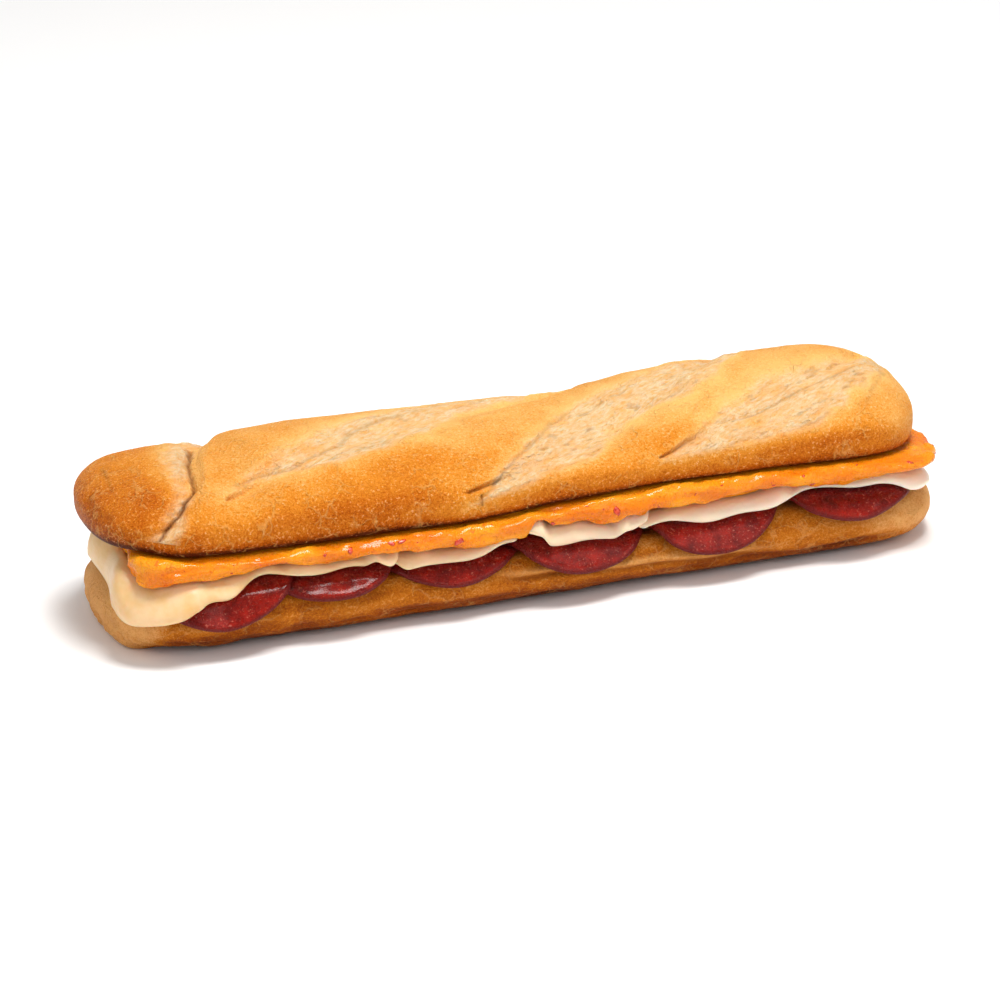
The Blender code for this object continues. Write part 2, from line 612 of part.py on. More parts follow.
def make_sauce(cover):
    """A slab of sauce on the cheese, with a fat wavy bead squeezed out all round it."""
    outline = full_outline(
        SAUCE_LEFT, SAUCE_RIGHT, SAUCE_HALF_WIDTH, SAUCE_SQUARENESS, 39, SAUCE_END_LENGTH,
    )
    spine = spine_of(outline, SAUCE_LEFT, SAUCE_RIGHT, SAUCE_END_LENGTH)
    pulled_in = 4.5 * smooth((outline[:, 0] - 134) / 12) * smooth((outline[:, 1] + 24) / 26)
    drawn_out = 3.5 * smooth((-124 - outline[:, 0]) / 10) * smooth((-12 - outline[:, 1]) / 18)
    outline[:, 0] = outline[:, 0] - pulled_in - drawn_out
    outline = ring_at(outline, spine, -along(SAUCE_SWELL, outline[:, 0]) * (np.abs(outline[:, 1]) > 20))
    highest = cheese_surface(cover)
    rings = []
    for inset in (99.0, 25.0, 14.0, 8.0, 4.6):
        ring = ring_at(outline, spine, inset)
        height = [above_cheese(highest, x, y, 8.0 if inset > 7 else 5.5) for x, y in ring]
        rings.append(np.column_stack([ring, height]))
    low = along(SAUCE_LOBES, outline[:, 0])
    high = TOP_CUT_HEIGHT + along(EDGE_LIFTS, outline[:, 0]) * 0.8
    for inset, share in ((1.7, 0.08), (0.25, 0.28), (0.0, 0.56), (1.6, 0.86), (4.7, 0.97)):
        ring = ring_at(outline, spine, inset)
        clear = np.array([above_cheese(highest, x, y, 3.5) for x, y in ring])
        lowest = np.maximum(low, clear)
        height = lowest + (high - GAP - 0.2 - lowest) * share
        rings.append(np.column_stack([ring, np.maximum(height, clear)]))
    for inset in (9.0, 15.5, 22.5, 99.0):
        ring = ring_at(outline, spine, inset)
        slack = 0.15 if inset < 10 else SAUCE_SLACK
        rings.append(np.column_stack([ring, top_cut_height(ring[:, 0], ring[:, 1]) - GAP - slack]))
    body_of_rings("sauce", rings, "sauce")


def clear_scene():
    for obj in list(bpy.data.objects):
        bpy.data.objects.remove(obj, do_unlink=True)


def main():
    clear_scene()
    make_bread_bottom()
    make_bread_top()
    tilts = {False: leaning(SALAMI_FRONT), True: leaning(SALAMI_BACK)}
    for back in (False, True):
        for number in range(1, 7):
            make_salami(number, back, tilts[back][number])
    cover = SoftCover(tilts)
    for number in range(1, 5):
        make_cheese(number, cover)
    make_sauce(cover)


main()
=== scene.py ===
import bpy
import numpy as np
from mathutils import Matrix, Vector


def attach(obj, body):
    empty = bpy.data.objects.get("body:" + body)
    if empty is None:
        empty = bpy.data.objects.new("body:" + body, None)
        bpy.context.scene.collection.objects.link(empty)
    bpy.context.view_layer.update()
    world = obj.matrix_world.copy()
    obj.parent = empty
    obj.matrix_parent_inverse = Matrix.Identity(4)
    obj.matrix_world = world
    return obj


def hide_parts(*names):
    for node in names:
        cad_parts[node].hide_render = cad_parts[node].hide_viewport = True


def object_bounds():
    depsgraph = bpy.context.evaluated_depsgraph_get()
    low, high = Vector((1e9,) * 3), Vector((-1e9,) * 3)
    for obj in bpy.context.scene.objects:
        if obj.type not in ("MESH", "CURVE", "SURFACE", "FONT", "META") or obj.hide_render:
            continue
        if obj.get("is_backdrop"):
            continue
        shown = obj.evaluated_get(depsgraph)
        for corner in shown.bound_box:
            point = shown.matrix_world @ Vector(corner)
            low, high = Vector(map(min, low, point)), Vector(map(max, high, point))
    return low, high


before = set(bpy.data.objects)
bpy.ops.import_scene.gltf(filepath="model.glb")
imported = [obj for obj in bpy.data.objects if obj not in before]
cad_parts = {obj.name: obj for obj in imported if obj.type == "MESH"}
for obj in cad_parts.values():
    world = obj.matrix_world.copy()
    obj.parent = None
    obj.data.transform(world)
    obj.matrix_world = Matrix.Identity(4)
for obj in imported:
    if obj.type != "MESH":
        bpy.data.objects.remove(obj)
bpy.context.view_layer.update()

# %% [markdown]
# # A filled submarine sandwich
# The frame holds the plain solids of the sandwich: two halves of a roll, twelve salami slices, four cheese
# slices and a slab of chilli sauce. Each one is replaced here by a finer mesh of the same form, because food
# looks real only when its small relief is real: torn scores, soft cheese edges and lumps in the sauce.
# Lengths are in millimetres until a mesh is made. +X runs along the roll, -Y faces the front, +Z is up.

MM = 0.001
GAP = 0.3
scene = bpy.context.scene
scene.view_settings.view_transform = "Standard"

# %% [markdown]
# ## Curves between stations
# Bread has no exact geometry, so its sizes are given at a few stations along the roll and read between them.
# An eased step has no sharp turns, a hump lifts one spot, and a curve through points keeps a profile round.
# All are short enough to write by hand, and they give the same result on each run.

# %% Soft steps and curves


def soft(value):
    """A soft step from 0 to 1."""
    value = np.clip(value, 0.0, 1.0)
    return value * value * (3 - 2 * value)


def hump(offset, width):
    """A round hump, 1 in its middle and close to 0 at twice its width."""
    return np.exp(-((offset / width) ** 2))


def along(stations, x):
    """A value read between stations, eased so that it has no sharp turns."""
    places = np.array([station[0] for station in stations], float)
    values = np.array([station[1] for station in stations], float)
    x = np.clip(np.asarray(x, float), places[0], places[-1])
    index = np.clip(np.searchsorted(places, x, side="right") - 1, 0, len(places) - 2)
    share = (x - places[index]) / (places[index + 1] - places[index])
    return values[index] + (values[index + 1] - values[index]) * soft(share)


def curve_through(stations, count):
    """Evenly spaced points of a round curve through the stations."""
    points = np.array(stations, float)
    steps = np.r_[0, np.cumsum(np.hypot(*np.diff(points, axis=0).T))]
    slopes = np.gradient(points, steps, axis=0)
    at = np.linspace(0, steps[-1], count)
    i = np.clip(np.searchsorted(steps, at, side="right") - 1, 0, len(points) - 2)
    run = (steps[i + 1] - steps[i])[:, None]
    t = (at - steps[i])[:, None] / run
    start = (2 * t**3 - 3 * t**2 + 1) * points[i] + (t**3 - 2 * t**2 + t) * run * slopes[i]
    end = (3 * t**2 - 2 * t**3) * points[i + 1] + (t**3 - t**2) * run * slopes[i + 1]
    return start + end


print("a soft step a quarter of the way along:", soft(0.25))

# %% [markdown]
# ## Lumps
# Relief that is seen at the edge of a shape has to be in the mesh. Blender's own noise works point by point,
# which is slow for a hundred thousand points, so this one works on whole arrays: a fixed random number for
# each cube of a lattice, blended between the eight corners of the cube.

# %% Noise for relief
# Large factors that scatter neighbouring cells far apart
CELL_FACTORS, SEED_FACTOR, MIX_FACTOR = (73856093, 19349663, 83492791), 2654435, 1274126177


def lattice(cells, seed):
    """A fixed number from -1 to 1 for each whole-number cell."""
    spread_out = cells * CELL_FACTORS
    mixed = spread_out[..., 0] ^ spread_out[..., 1] ^ spread_out[..., 2] ^ (seed + 7) * SEED_FACTOR
    mixed = (mixed ^ (mixed >> 13)) * MIX_FACTOR
    return ((mixed ^ (mixed >> 16)) & 0xFFFF) / 32767.5 - 1


def lumps(points, size, seed, layers=1):
    """Soft lumps of this size, from -1 to 1, with finer layers of half the size and height."""
    total, weight = 0.0, 1.0
    for layer in range(layers):
        place = np.asarray(points, float) / size * 2**layer + 31.7
        cells = np.floor(place).astype(np.int64)
        share = place - cells
        share = share * share * (3 - 2 * share)
        value = 0.0
        for corner in np.ndindex(2, 2, 2):
            side = np.array(corner)
            weights = np.prod(np.where(side, share, 1 - share), axis=-1)
            value = value + lattice(cells + side, seed + layer) * weights
        total = total + value * weight
        weight *= 0.5
    return total


print("lumps at three spots:", np.round(lumps(np.eye(3), 2.0, 1), 2))

# %% [markdown]
# ## From rings to a mesh
# Bread, sausage and sauce are round, so each is a stack of rings: the first and the last shrink to a line or
# a point and close it. Masks that the materials need, such as how far a spot is baked, are worked out at the
# same points and kept on the mesh as attributes, which follow it into any view and any export.

# %% Mesh helpers


def smooth_object(name, points, faces, masks):
    """An object from points in millimetres, with its masks kept on the points."""
    mesh = bpy.data.meshes.new(name)
    mesh.from_pydata((np.asarray(points) * MM).tolist(), [], faces)
    for mask, values in masks.items():
        layer = mesh.attributes.new(mask, "FLOAT", "POINT")
        layer.data.foreach_set("value", np.asarray(values, np.float32))
    mesh.shade_smooth()
    made = bpy.data.objects.new(name, mesh)
    scene.collection.objects.link(made)
    print(name, len(mesh.vertices), "points", [round(side / MM, 1) for side in made.dimensions], "mm")
    return made


def stand_for(piece, node):
    """Lets a piece take the place of a solid of the frame, and be moved with it."""
    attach(piece, "root")
    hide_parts(node)
    return piece


def body(name, rings, node, masks):
    """A closed piece from rings of points, standing for this node of the frame."""
    rings = np.asarray(rings, float)
    levels, count = rings.shape[:2]
    points = rings.reshape(-1, 3)
    _, first, index = np.unique(np.round(points, 3), axis=0, return_index=True, return_inverse=True)
    level, place = np.meshgrid(np.arange(levels - 1), np.arange(count), indexing="ij")
    low, after = level * count, (place + 1) % count
    corners = np.stack([low + place, low + after, low + count + after, low + count + place], axis=-1)
    corners = index.reshape(-1)[corners.reshape(-1, 4)]
    # Corners that fall on one point count once, and a face needs three that are left
    faces = [tuple(dict.fromkeys(face)) for face in corners.tolist()]
    faces = [face for face in faces if len(face) > 2]
    kept = {mask: np.asarray(values).reshape(-1)[first] for mask, values in masks.items()}
    return stand_for(smooth_object(name, points[first], faces, kept), node)


# %% Ring helpers


def at_height(plan, height):
    """Plan points lifted to a height."""
    return np.column_stack([plan, height])


def out_of(rings):
    """The outward direction at each point of a stack of rings."""
    round_it = np.roll(rings, -1, axis=1) - np.roll(rings, 1, axis=1)
    up_it = np.gradient(rings, axis=0)
    normal = np.cross(round_it, up_it)
    length = np.linalg.norm(normal, axis=-1, keepdims=True)
    normal = np.where(length > 1e-9, normal / np.maximum(length, 1e-9), 0.0)
    normal[0], normal[-1] = (0, 0, -1), (0, 0, 1)
    return normal


# %% [markdown]
# ## The plan of the roll
# Seen from above, both halves have straight sides and squarish round ends. A superellipse gives such an end
# from one number. Each ring is this outline, drawn in towards the middle line, or spine, of the roll.

# %% Outline and spine
END_LENGTH = 34.0


def full_outline(left, right, half_width, squareness, count, end_length=END_LENGTH):
    """The whole plan, anticlockwise from the left tip, with evenly spaced points."""
    angle = np.linspace(0, np.pi / 2, 400)
    lengthwise = end_length * np.cos(angle) ** (2 / squareness)
    across = -half_width * np.sin(angle) ** (2 / squareness)
    left_end = np.column_stack([left + end_length - lengthwise, across])
    right_end = np.column_stack([right - end_length + lengthwise, across])[::-1]
    dense = np.vstack([left_end, right_end])
    steps = np.r_[0, np.cumsum(np.hypot(*np.diff(dense, axis=0).T))]
    at = np.linspace(0, steps[-1], count)
    front = np.column_stack([np.interp(at, steps, values) for values in dense.T])
    return np.vstack([front, front[-2:0:-1] * (1, -1)])


def spine_of(outline, left, right, end_length=END_LENGTH):
    """The point of the middle line that each outline point is drawn towards."""
    x = np.clip(outline[:, 0], left + end_length, right - end_length)
    return np.column_stack([x, np.zeros(len(x))])


def ring_at(outline, spine, inset):
    """The outline moved in by this much, which ends on the spine."""
    reach = np.hypot(*(outline - spine).T)
    return spine + (outline - spine) * np.clip(1 - inset / reach, 0, 1)[:, None]


# %% [markdown]
# ## The lower half
# It stands on a flat base, bulges at the side and has one long crease where the dough folded as it rose. The
# side is a curve through measured stations. The crease, the wrinkles below it and the dents of the left end
# are pushed into the rings, because they catch the light.

# %% Sizes of the lower half
BOTTOM_LEFT, BOTTOM_RIGHT, BOTTOM_HALF_WIDTH, BOTTOM_SQUARENESS = -145.0, 149.5, 38.0, 2.7
LEFT_END_STEEPNESS = 0.7
EDGE_INSET = 7.0
CUT_HEIGHT, CUT_DISH = 18.0, 2.0
CUT_RISES = (
    (-145, 0.5), (-112, 0.5), (-91, 1.4), (-50, 0.2), (-6, 0.2),
    (39, -0.5), (89, 1.8), (115, 1.8), (150, 1.0),
)
# The side's curve: how far in from the outline, and how high
BOTTOM_SIDE = (
    (14.5, 0.0), (10.4, 0.9), (6.5, 2.6), (3.3, 4.8), (1.1, 7.2), (0.0, 9.8),
    (0.25, 11.8), (1.2, 14.0), (2.7, 16.0), (4.6, 17.4), (EDGE_INSET, CUT_HEIGHT),
)


def cut_height(x, y):
    """The cut face of the lower half, a little wavy along it and pressed down in its middle."""
    middle = 1 - soft(np.abs(y) / (BOTTOM_HALF_WIDTH - EDGE_INSET))
    return CUT_HEIGHT + along(CUT_RISES, x) - CUT_DISH * middle


def crease_at(x, y):
    """The long crease of the front: how much of it there is at a place, and its height."""
    share = soft((x + 25) / 20) * soft((88 - x) / 20) * (y < 0)
    return share, 11.0 - 0.055 * (x - 10) + 0.5 * np.sin(x * 0.19)


print("lower half", BOTTOM_RIGHT - BOTTOM_LEFT, "x", 2 * BOTTOM_HALF_WIDTH, "mm in plan")

# %% Rings of the lower half
outline = full_outline(BOTTOM_LEFT, BOTTOM_RIGHT, BOTTOM_HALF_WIDTH, BOTTOM_SQUARENESS, 420)
spine = spine_of(outline, BOTTOM_LEFT, BOTTOM_RIGHT)
inward = (spine - outline) / np.maximum(np.hypot(*(spine - outline).T), 1e-9)[:, None]
faces_left = soft((inward[:, 0] - 0.50) / 0.35)
steep_end = LEFT_END_STEEPNESS * soft((-116 - outline[:, 0]) / 18) * faces_left
tucked = 3.5 * soft((-112 - outline[:, 0]) / 14) * (1 - faces_left) * (outline[:, 1] < 0)
rings = [at_height(spine, np.zeros(len(spine)))]
for inset, height in [(26.0, 0.0), (18.0, 0.0)] + curve_through(BOTTOM_SIDE, 56).tolist():
    steep = (1 - steep_end) if height > 0 else 1.0
    share = soft((height - 8.5) / 1.0)
    inset = inset * (share + (1 - share) * steep) + tucked * soft((8 - height) / 8)
    ring = ring_at(outline, spine, inset)
    rise = soft(height / CUT_HEIGHT) * along(CUT_RISES, ring[:, 0])
    crease, crease_height = crease_at(*ring.T)
    off = height - crease_height
    # The groove of the crease, and the fold that stands out above it
    groove = crease * (hump(off, 0.9) - 0.55 * hump(off - 1.9, 1.3))
    ring = ring + inward * (groove * soft(height / 3) * soft((CUT_HEIGHT - height) / 2))[:, None]
    rings.append(at_height(ring, height + rise))
for inset in (9.0, 12.0, 15.0, 20.0, 26.0):
    ring = ring_at(outline, spine, inset)
    rings.append(at_height(ring, cut_height(*ring.T)))
rings.append(at_height(spine, cut_height(*spine.T)))
rings = np.array(rings)
print("lower half:", len(rings), "rings of", len(outline), "points")

# %% [markdown]
# ## Wrinkles, baking and painted light of the lower half
# The skin of a baked roll is never smooth: it has soft lumps, and wrinkles that run along the dough. Both are
# noise, and the wrinkles come from noise that is stretched along the roll and folded at its middle value.
# The roll is darkest low down, as painted shade for the contact shadow by the floor, pale at its left end,
# and paler at its right end as painted light from the lamp on the right.

# %% Relief of the lower half
free = soft(rings[..., 2] / 3.0) * soft((CUT_HEIGHT - 1 - rings[..., 2]) / 5.0)
stretched = rings * (0.24, 1.0, 1.0)
wrinkles = 1 - 2 * np.abs(lumps(stretched, 4.2, 3, 2))
low_roll = soft((9.5 - rings[..., 2]) / 4.0)
left_end = soft((-126 - rings[..., 0]) / 12)
relief = 0.30 * lumps(rings, 13.0, 1, 2) + 0.22 * lumps(rings, 4.0, 2, 2) * (0.5 + left_end)
relief = relief + 0.50 * wrinkles * (0.30 + 0.9 * low_roll)
dents = np.clip(lumps(rings, 7.0, 5) - 0.35, 0, 1) * left_end
rings = rings + out_of(rings) * ((relief - 1.1 * dents) * free)[..., None]
rings[..., 2] = np.maximum(rings[..., 2], 0.0)
print("relief of the lower half up to", round(float(np.abs(relief).max()), 2), "mm")

# %% Baking and painted light of the lower half
# Painted shade: the low part of the roll is darker, for the contact shadow by the floor
bottom_bake_and_light = 0.46 + 0.12 * lumps(stretched, 8.0, 8, 2) + 0.34 * low_roll - 0.12 * wrinkles
# Painted light: the right end is paler, where the lamp on the right falls
bottom_bake_and_light = bottom_bake_and_light * (1 - 0.8 * left_end) - 0.05 * left_end - 0.36 * soft((rings[..., 0] - 104) / 30)
crease, crease_height = crease_at(rings[..., 0], rings[..., 1])
off = rings[..., 2] - crease_height
# Painted shade in the groove of the crease and in the dents of the left end
bottom_crevice_shade = crease * hump(off, 0.9) * 0.55 + 0.5 * dents
bottom_pale = crease * hump(off - 2.0, 1.0) * 0.35
bottom_crumb = np.zeros(rings.shape[:2])
bottom_crumb[-4:] = 1.0
bottom_masks = {"bake": bottom_bake_and_light, "torn": bottom_pale, "crevice_shade": bottom_crevice_shade, "crumb": bottom_crumb}
bread_bottom = body("roll_lower_half", rings, "bread_bottom", bottom_masks)

# %% [markdown]
# ## The scores of the upper half
# Before baking, the baker cuts the dough on the slant. The cuts open in the oven into wide, pale, floury
# bands with ragged edges, and the crust between them puffs up. The valley of each score is the same as in the
# solid. The torn band is drawn by its two edges, read along the roll and shaken by noise so that neither is
# even.

# %% Sizes of the upper half
TOP_LEFT, TOP_RIGHT, TOP_HALF_WIDTH, TOP_SQUARENESS = -148.0, 144.0, 37.5, 2.4
TOP_CUT_HEIGHT, TOP_CUT_ARCH = 34.8, 3.0
WIDEST_HEIGHT = 40.5
DOME_POWER = 2.15
SCORE_DEPTH, PILLOW_RISE = 1.7, 0.8
CROWN = (
    (-115, 54.4), (-100, 54.0), (-87, 56.9), (-70, 57.7), (-44, 56.9), (-16, 55.4), (6, 53.9),
    (21, 52.4), (30, 52.3), (42, 54.6), (56, 56.8), (71, 58.5), (100, 59.3), (112, 59.3),
)
EDGE_LIFTS = (
    (-148, 2.0), (-136, 3.0), (-121, 0.5), (-100, -0.6), (-71, -1.2), (-50, -1.2), (-28, -2.0),
    (-14, -1.2), (7, 1.0), (45, 2.7), (78, 2.2), (110, 1.0), (144, -1.0),
)
print("upper half", TOP_RIGHT - TOP_LEFT, "x", 2 * TOP_HALF_WIDTH, "mm in plan")

# %% Valleys of the scores
# Each station: place along the roll, distance round the dome from its crown, and width
HEEL_TEAR = (
    (-132, -50, 8), (-127, -43, 9), (-120, -27, 10), (-114, -12, 10),
    (-108, 6, 10), (-102, 22, 10), (-95, 38, 9), (-91, 50, 8),
)
SCORE_A = (
    (-105, -29, 3), (-92, -23, 12), (-80, -17, 16), (-62, -8, 18), (-39, 0, 19),
    (-15, 8, 17), (8, 18, 14), (28, 31, 10), (40, 44, 4),
)
SCORE_B = (
    (-25, -48, 3), (-12, -43, 7), (0, -36, 16), (12, -29, 19), (25, -20, 21),
    (40, -11, 21), (56, 0, 19), (72, 15, 15), (86, 31, 11), (97, 45, 4),
)
SCORE_C = (
    (43, -46, 3), (58, -38, 11), (72, -30, 17), (86, -21, 20),
    (98, -14, 19), (112, -8, 15), (126, 2, 10), (133, 12, 4),
)
# How much deeper than its sizes say each valley is
VALLEYS = ((HEEL_TEAR, 1.25), (SCORE_A, 1.0), (SCORE_B, 1.0), (SCORE_C, 1.0))
print(len(VALLEYS), "valleys")

# %% Reading the valleys


def from_line(points, line):
    """Distance from a line of stations to each dome point, and the line's own width there."""
    line = np.array(line, float)
    if line.shape[1] == 2:
        line = np.column_stack([line, np.ones(len(line))])
    nearest, width = np.full(points.shape[:-1], 1e9), np.zeros(points.shape[:-1])
    for start, end in zip(line[:-1], line[1:]):
        run = (end - start)[:2]
        share = np.clip(((points - start[:2]) * run).sum(-1) / (run * run).sum(), 0, 1)
        distance = np.linalg.norm(points - start[:2] - share[..., None] * run, axis=-1)
        width = np.where(distance < nearest, start[2] + share * (end - start)[2], width)
        nearest = np.minimum(nearest, distance)
    return nearest, width


def crown_relief(points):
    """The valleys of the scores and the puffed bread between them, as in the solid."""
    valley = np.zeros(points.shape[:-1])
    for score, deeper in VALLEYS:
        distance, width = from_line(points, score)
        valley = np.maximum(valley, soft(1 - np.clip(distance / (width * 0.62), 0, 1)) * deeper)
    return PILLOW_RISE - (SCORE_DEPTH + PILLOW_RISE) * valley


# %% Edges of the torn bands
# The lower and the upper edge of each: place along the roll, and distance round the dome
TORN_A = (
    (
        (-105, -25), (-92, -20), (-78, -20.5), (-65, -21), (-49, -15), (-32, -7), (-20, 3), (-11, 12),
        (8, 23), (28, 37), (40, 47),
    ),
    (
        (-105, -25), (-94, -15), (-77, -5), (-60, 5), (-42, 14), (-25, 20), (-10, 26), (8, 33),
        (28, 43), (40, 48),
    ),
)
TORN_B = (
    (
        (-24, -56), (-8, -50), (7, -43), (19, -36), (29, -23), (45, -10), (60, -9), (75, -1),
        (88, 14), (97, 30), (104, 45),
    ),
    (
        (-24, -56), (-7, -29), (6, -16), (20, -1), (29, 7), (42, 12), (57, 17), (70, 24),
        (85, 36), (97, 45), (104, 47),
    ),
)
TORN_C = (
    ((43, -49), (56, -48), (70, -47), (85, -45), (98, -43), (109, -33), (120, -22), (132, -11), (139, 2)),
    ((43, -48), (54, -37), (63, -28), (74, -19), (89, -8), (105, -4), (123, 2), (133, 8), (139, 10)),
)
# The heel tear runs across the roll, so its edges are read round the dome instead
TORN_HEEL = (
    (
        (-56, -134), (-50, -132.5), (-36, -127), (-18, -121), (-10, -120), (3, -118), (23, -112),
        (40, -106), (56, -100),
    ),
    ((-56, -126), (-50, -125), (-36, -121), (-18, -115), (-3, -111), (18, -104), (40, -96), (56, -90)),
)


def into_torn(points):
    """How many millimetres each dome point lies inside a torn band, below 0 outside them."""
    x, turn = points[..., 0], points[..., 1]
    inside = np.minimum(x - along(TORN_HEEL[0], turn), along(TORN_HEEL[1], turn) - x)
    for lower, upper in (TORN_A, TORN_B, TORN_C):
        band = np.minimum(turn - along(lower, x), along(upper, x) - turn) * 0.8
        ends = np.minimum(x - lower[0][0], lower[-1][0] - x)
        inside = np.maximum(inside, np.minimum(band, ends))
    return inside


# %% [markdown]
# ## Cracks
# Thin cracks are lines on the dome, each with a width and a depth. The gap of the heel tear is the deepest.
# The lips beside it and the long ridge of the right score are the same thing the other way up.

# %% Cracks and lips
# Each: its line on the dome, its width and its depth, which is below 0 for a lip
CRACKS = (
    (((-104, 22), (-107, 12), (-110, 3), (-111.5, -6), (-113, -13), (-114.5, -19)), 0.7, 1.6),
    (((-114.5, -19), (-119, -25), (-121, -31), (-125, -37), (-128, -43), (-131, -51)), 0.7, 1.8),
    (((-100, 20), (-104.5, 7), (-107, -4), (-110, -17), (-114, -30), (-118, -42)), 1.1, -0.6),
    (((-117, -24), (-121, -38), (-124, -52)), 0.8, -0.3),
    (((-136, 15), (-138, 3), (-139, -8)), 0.9, 0.4),
    (((-145, -2), (-146, -12), (-143, -26)), 1.4, 0.5),
    (((-101, -21), (-91, -18), (-81, -17), (-72, -12), (-60, -5), (-55, 1), (-45, 6), (-32, 12)), 0.9, 0.5),
    (((-22, -54), (-14, -42), (-7, -31), (6, -17), (13, -8), (22, 0)), 0.8, 0.6),
    (((72, -31), (80, -29), (90, -24), (100, -18), (112, -13), (122, -8), (131, -3)), 0.6, 0.6),
    (((66, -30), (78, -25), (90, -19), (102, -14), (116, -8)), 1.6, -0.5),
    (((-21.5, -51), (-21, -58.5)), 0.6, 1.3),
    (((120, -32), (126, -22), (134, -10)), 1.2, 0.4),
)
print(len(CRACKS), "cracks and lips")

# %% [markdown]
# ## The upper half
# The dome is a stack of rings over the same plan, from the cut face round the tucked-in rim to the crown. All
# relief is added along the dome's own direction. Four masks go with it: how far the crust is baked, with
# painted light and shade in the same mask, where it is torn, how deep a crevice is, which sets its painted
# shade, and where the crumb of the cut face shows.

# %% Rings of the upper half
outline = full_outline(TOP_LEFT, TOP_RIGHT, TOP_HALF_WIDTH, TOP_SQUARENESS, 450)
spine = spine_of(outline, TOP_LEFT, TOP_RIGHT)
outward = (outline - spine) / np.hypot(*(outline - spine).T)[:, None]
crown = along(CROWN, spine[:, 0])
lifts = along(EDGE_LIFTS, outline[:, 0])
side = np.where(outline[:, 1] < 0, -1.0, 1.0)


def top_cut_height(x, y):
    """The cut face of the upper half, arched a little over the filling."""
    middle = 1 - soft((np.abs(y) - 15) / (TOP_HALF_WIDTH - 22))
    middle = middle * soft((122 - np.abs(x + 2)) / 14)
    return TOP_CUT_HEIGHT + along(EDGE_LIFTS, x) * 0.8 + TOP_CUT_ARCH * middle


rings = [at_height(spine, top_cut_height(*spine.T))]
for inset in (27.0, 21.0, 14.0, 10.0):
    ring = ring_at(outline, spine, inset)
    rings.append(at_height(ring, top_cut_height(*ring.T)))
rim_rise = WIDEST_HEIGHT - TOP_CUT_HEIGHT
rim_curve = ((7.5, 0.0), (4.0, 0.1), (1.6, 1.0), (0.35, 3.0), (0.0, rim_rise))
for inset, rise in curve_through(rim_curve, 16)[:-1]:
    ring = ring_at(outline, spine, inset)
    height = TOP_CUT_HEIGHT + along(EDGE_LIFTS, ring[:, 0]) * 0.8 + rise - 0.2 * lifts * soft(rise / rim_rise)
    rings.append(at_height(ring, height))

# %% Rings of the dome
# Each point of the dome also gets its place along the roll and its distance round from the crown
dome_start = len(rings)
rim_turn = side * TOP_HALF_WIDTH * np.pi / 2 * np.abs(outward[:, 1])
dome = [np.column_stack([outline[:, 0], rim_turn])] * dome_start
angles = np.linspace(0, np.pi / 2, 84)
for angle in angles:
    share = np.cos(angle) ** (2 / DOME_POWER) if angle < 1.57 else 0.0
    low = WIDEST_HEIGHT + lifts * 0.6
    flat = spine + (outline - spine) * share
    turn = side * TOP_HALF_WIDTH * (np.pi / 2 - angle) * np.abs(outward[:, 1])
    rings.append(at_height(flat, low + (crown - low) * np.sin(angle) ** (2 / DOME_POWER)))
    dome.append(np.column_stack([flat[:, 0], turn]))
rings, dome = np.array(rings), np.array(dome)
dome_x, dome_turn = dome[..., 0], dome[..., 1]
turns = np.concatenate([np.zeros(dome_start), angles])[:, None]
print("upper half:", len(rings), "rings,", len(angles), "of them on the dome")

# %% Relief of the upper half
ragged = np.stack([lumps(rings, 6.0, 11, 3), lumps(rings, 6.0, 14, 3)], axis=-1) * 1.4
inside = into_torn(dome + ragged)
torn = soft((inside + 1.0) / 3.4)
# Torn dough has fibres that run along the score, 30 degrees off the roll's own way
along_fibre, across_fibre = 0.87 * dome_x + 0.5 * dome_turn, 0.87 * dome_turn - 0.5 * dome_x
fibres = np.stack([0.35 * along_fibre, across_fibre, 0.4 * rings[..., 2]], axis=-1)
relief = crown_relief(dome) - 0.45 * torn + 0.30 * hump(inside + 1.0, 1.2)
relief = relief + torn * (0.34 * lumps(fibres, 2.2, 21, 3) + 0.30 * (1 - 2 * np.abs(lumps(fibres, 3.6, 23))))
relief = relief + (1 - torn) * (0.24 * lumps(rings, 16.0, 25, 2) + 0.07 * lumps(rings, 2.6, 27, 2))
# Painted shade: each crack and pit is darkened by its depth
crevice_shade = np.zeros(torn.shape)
wobble = dome + np.stack([lumps(rings, 5.0, 31, 2), lumps(rings, 5.0, 33, 2)], axis=-1) * 0.5
for line, width, depth in CRACKS:
    cut = hump(from_line(wobble, line)[0], width)
    relief = relief - depth * cut
    crevice_shade = np.maximum(crevice_shade, cut * np.clip(depth / 2.0, 0, 1))
pits = np.clip(lumps(fibres, 1.8, 35, 2) - 0.55, 0, 1) * 2.0 * torn
relief = relief - 0.5 * pits
crevice_shade = np.maximum(crevice_shade, np.clip(pits * 0.5, 0, 0.25))
relief = relief * soft(turns / 0.35)
rings[..., :2] += outward * (relief * np.cos(turns) * (turns > 0))[..., None]
rings[..., 2] += relief * np.sin(turns)
# The last ring lies on the spine twice, once from each side, so both get one height
order = np.argsort(spine[:, 0])
rings[-1, :, 2] = np.interp(rings[-1, :, 0], np.sort(spine[:, 0]), rings[-1, :, 2][order])
print("relief of the upper half from", np.round([relief.min(), relief.max()], 2), "mm")

# %% [markdown]
# ## Baking and painted light of the upper half
# A roll browns where it stands out to the heat: most at its sharp lower rim and its heel, least beside the
# scores. The same mask also carries painted light and shade: the crown and the right end of the rim are paler
# as painted light from the lamp on the right, and the sides far round the dome and the heel are darker partly
# as painted shade. Each of these is a term of its own here, added up, with a few spots that are darker in
# this roll.

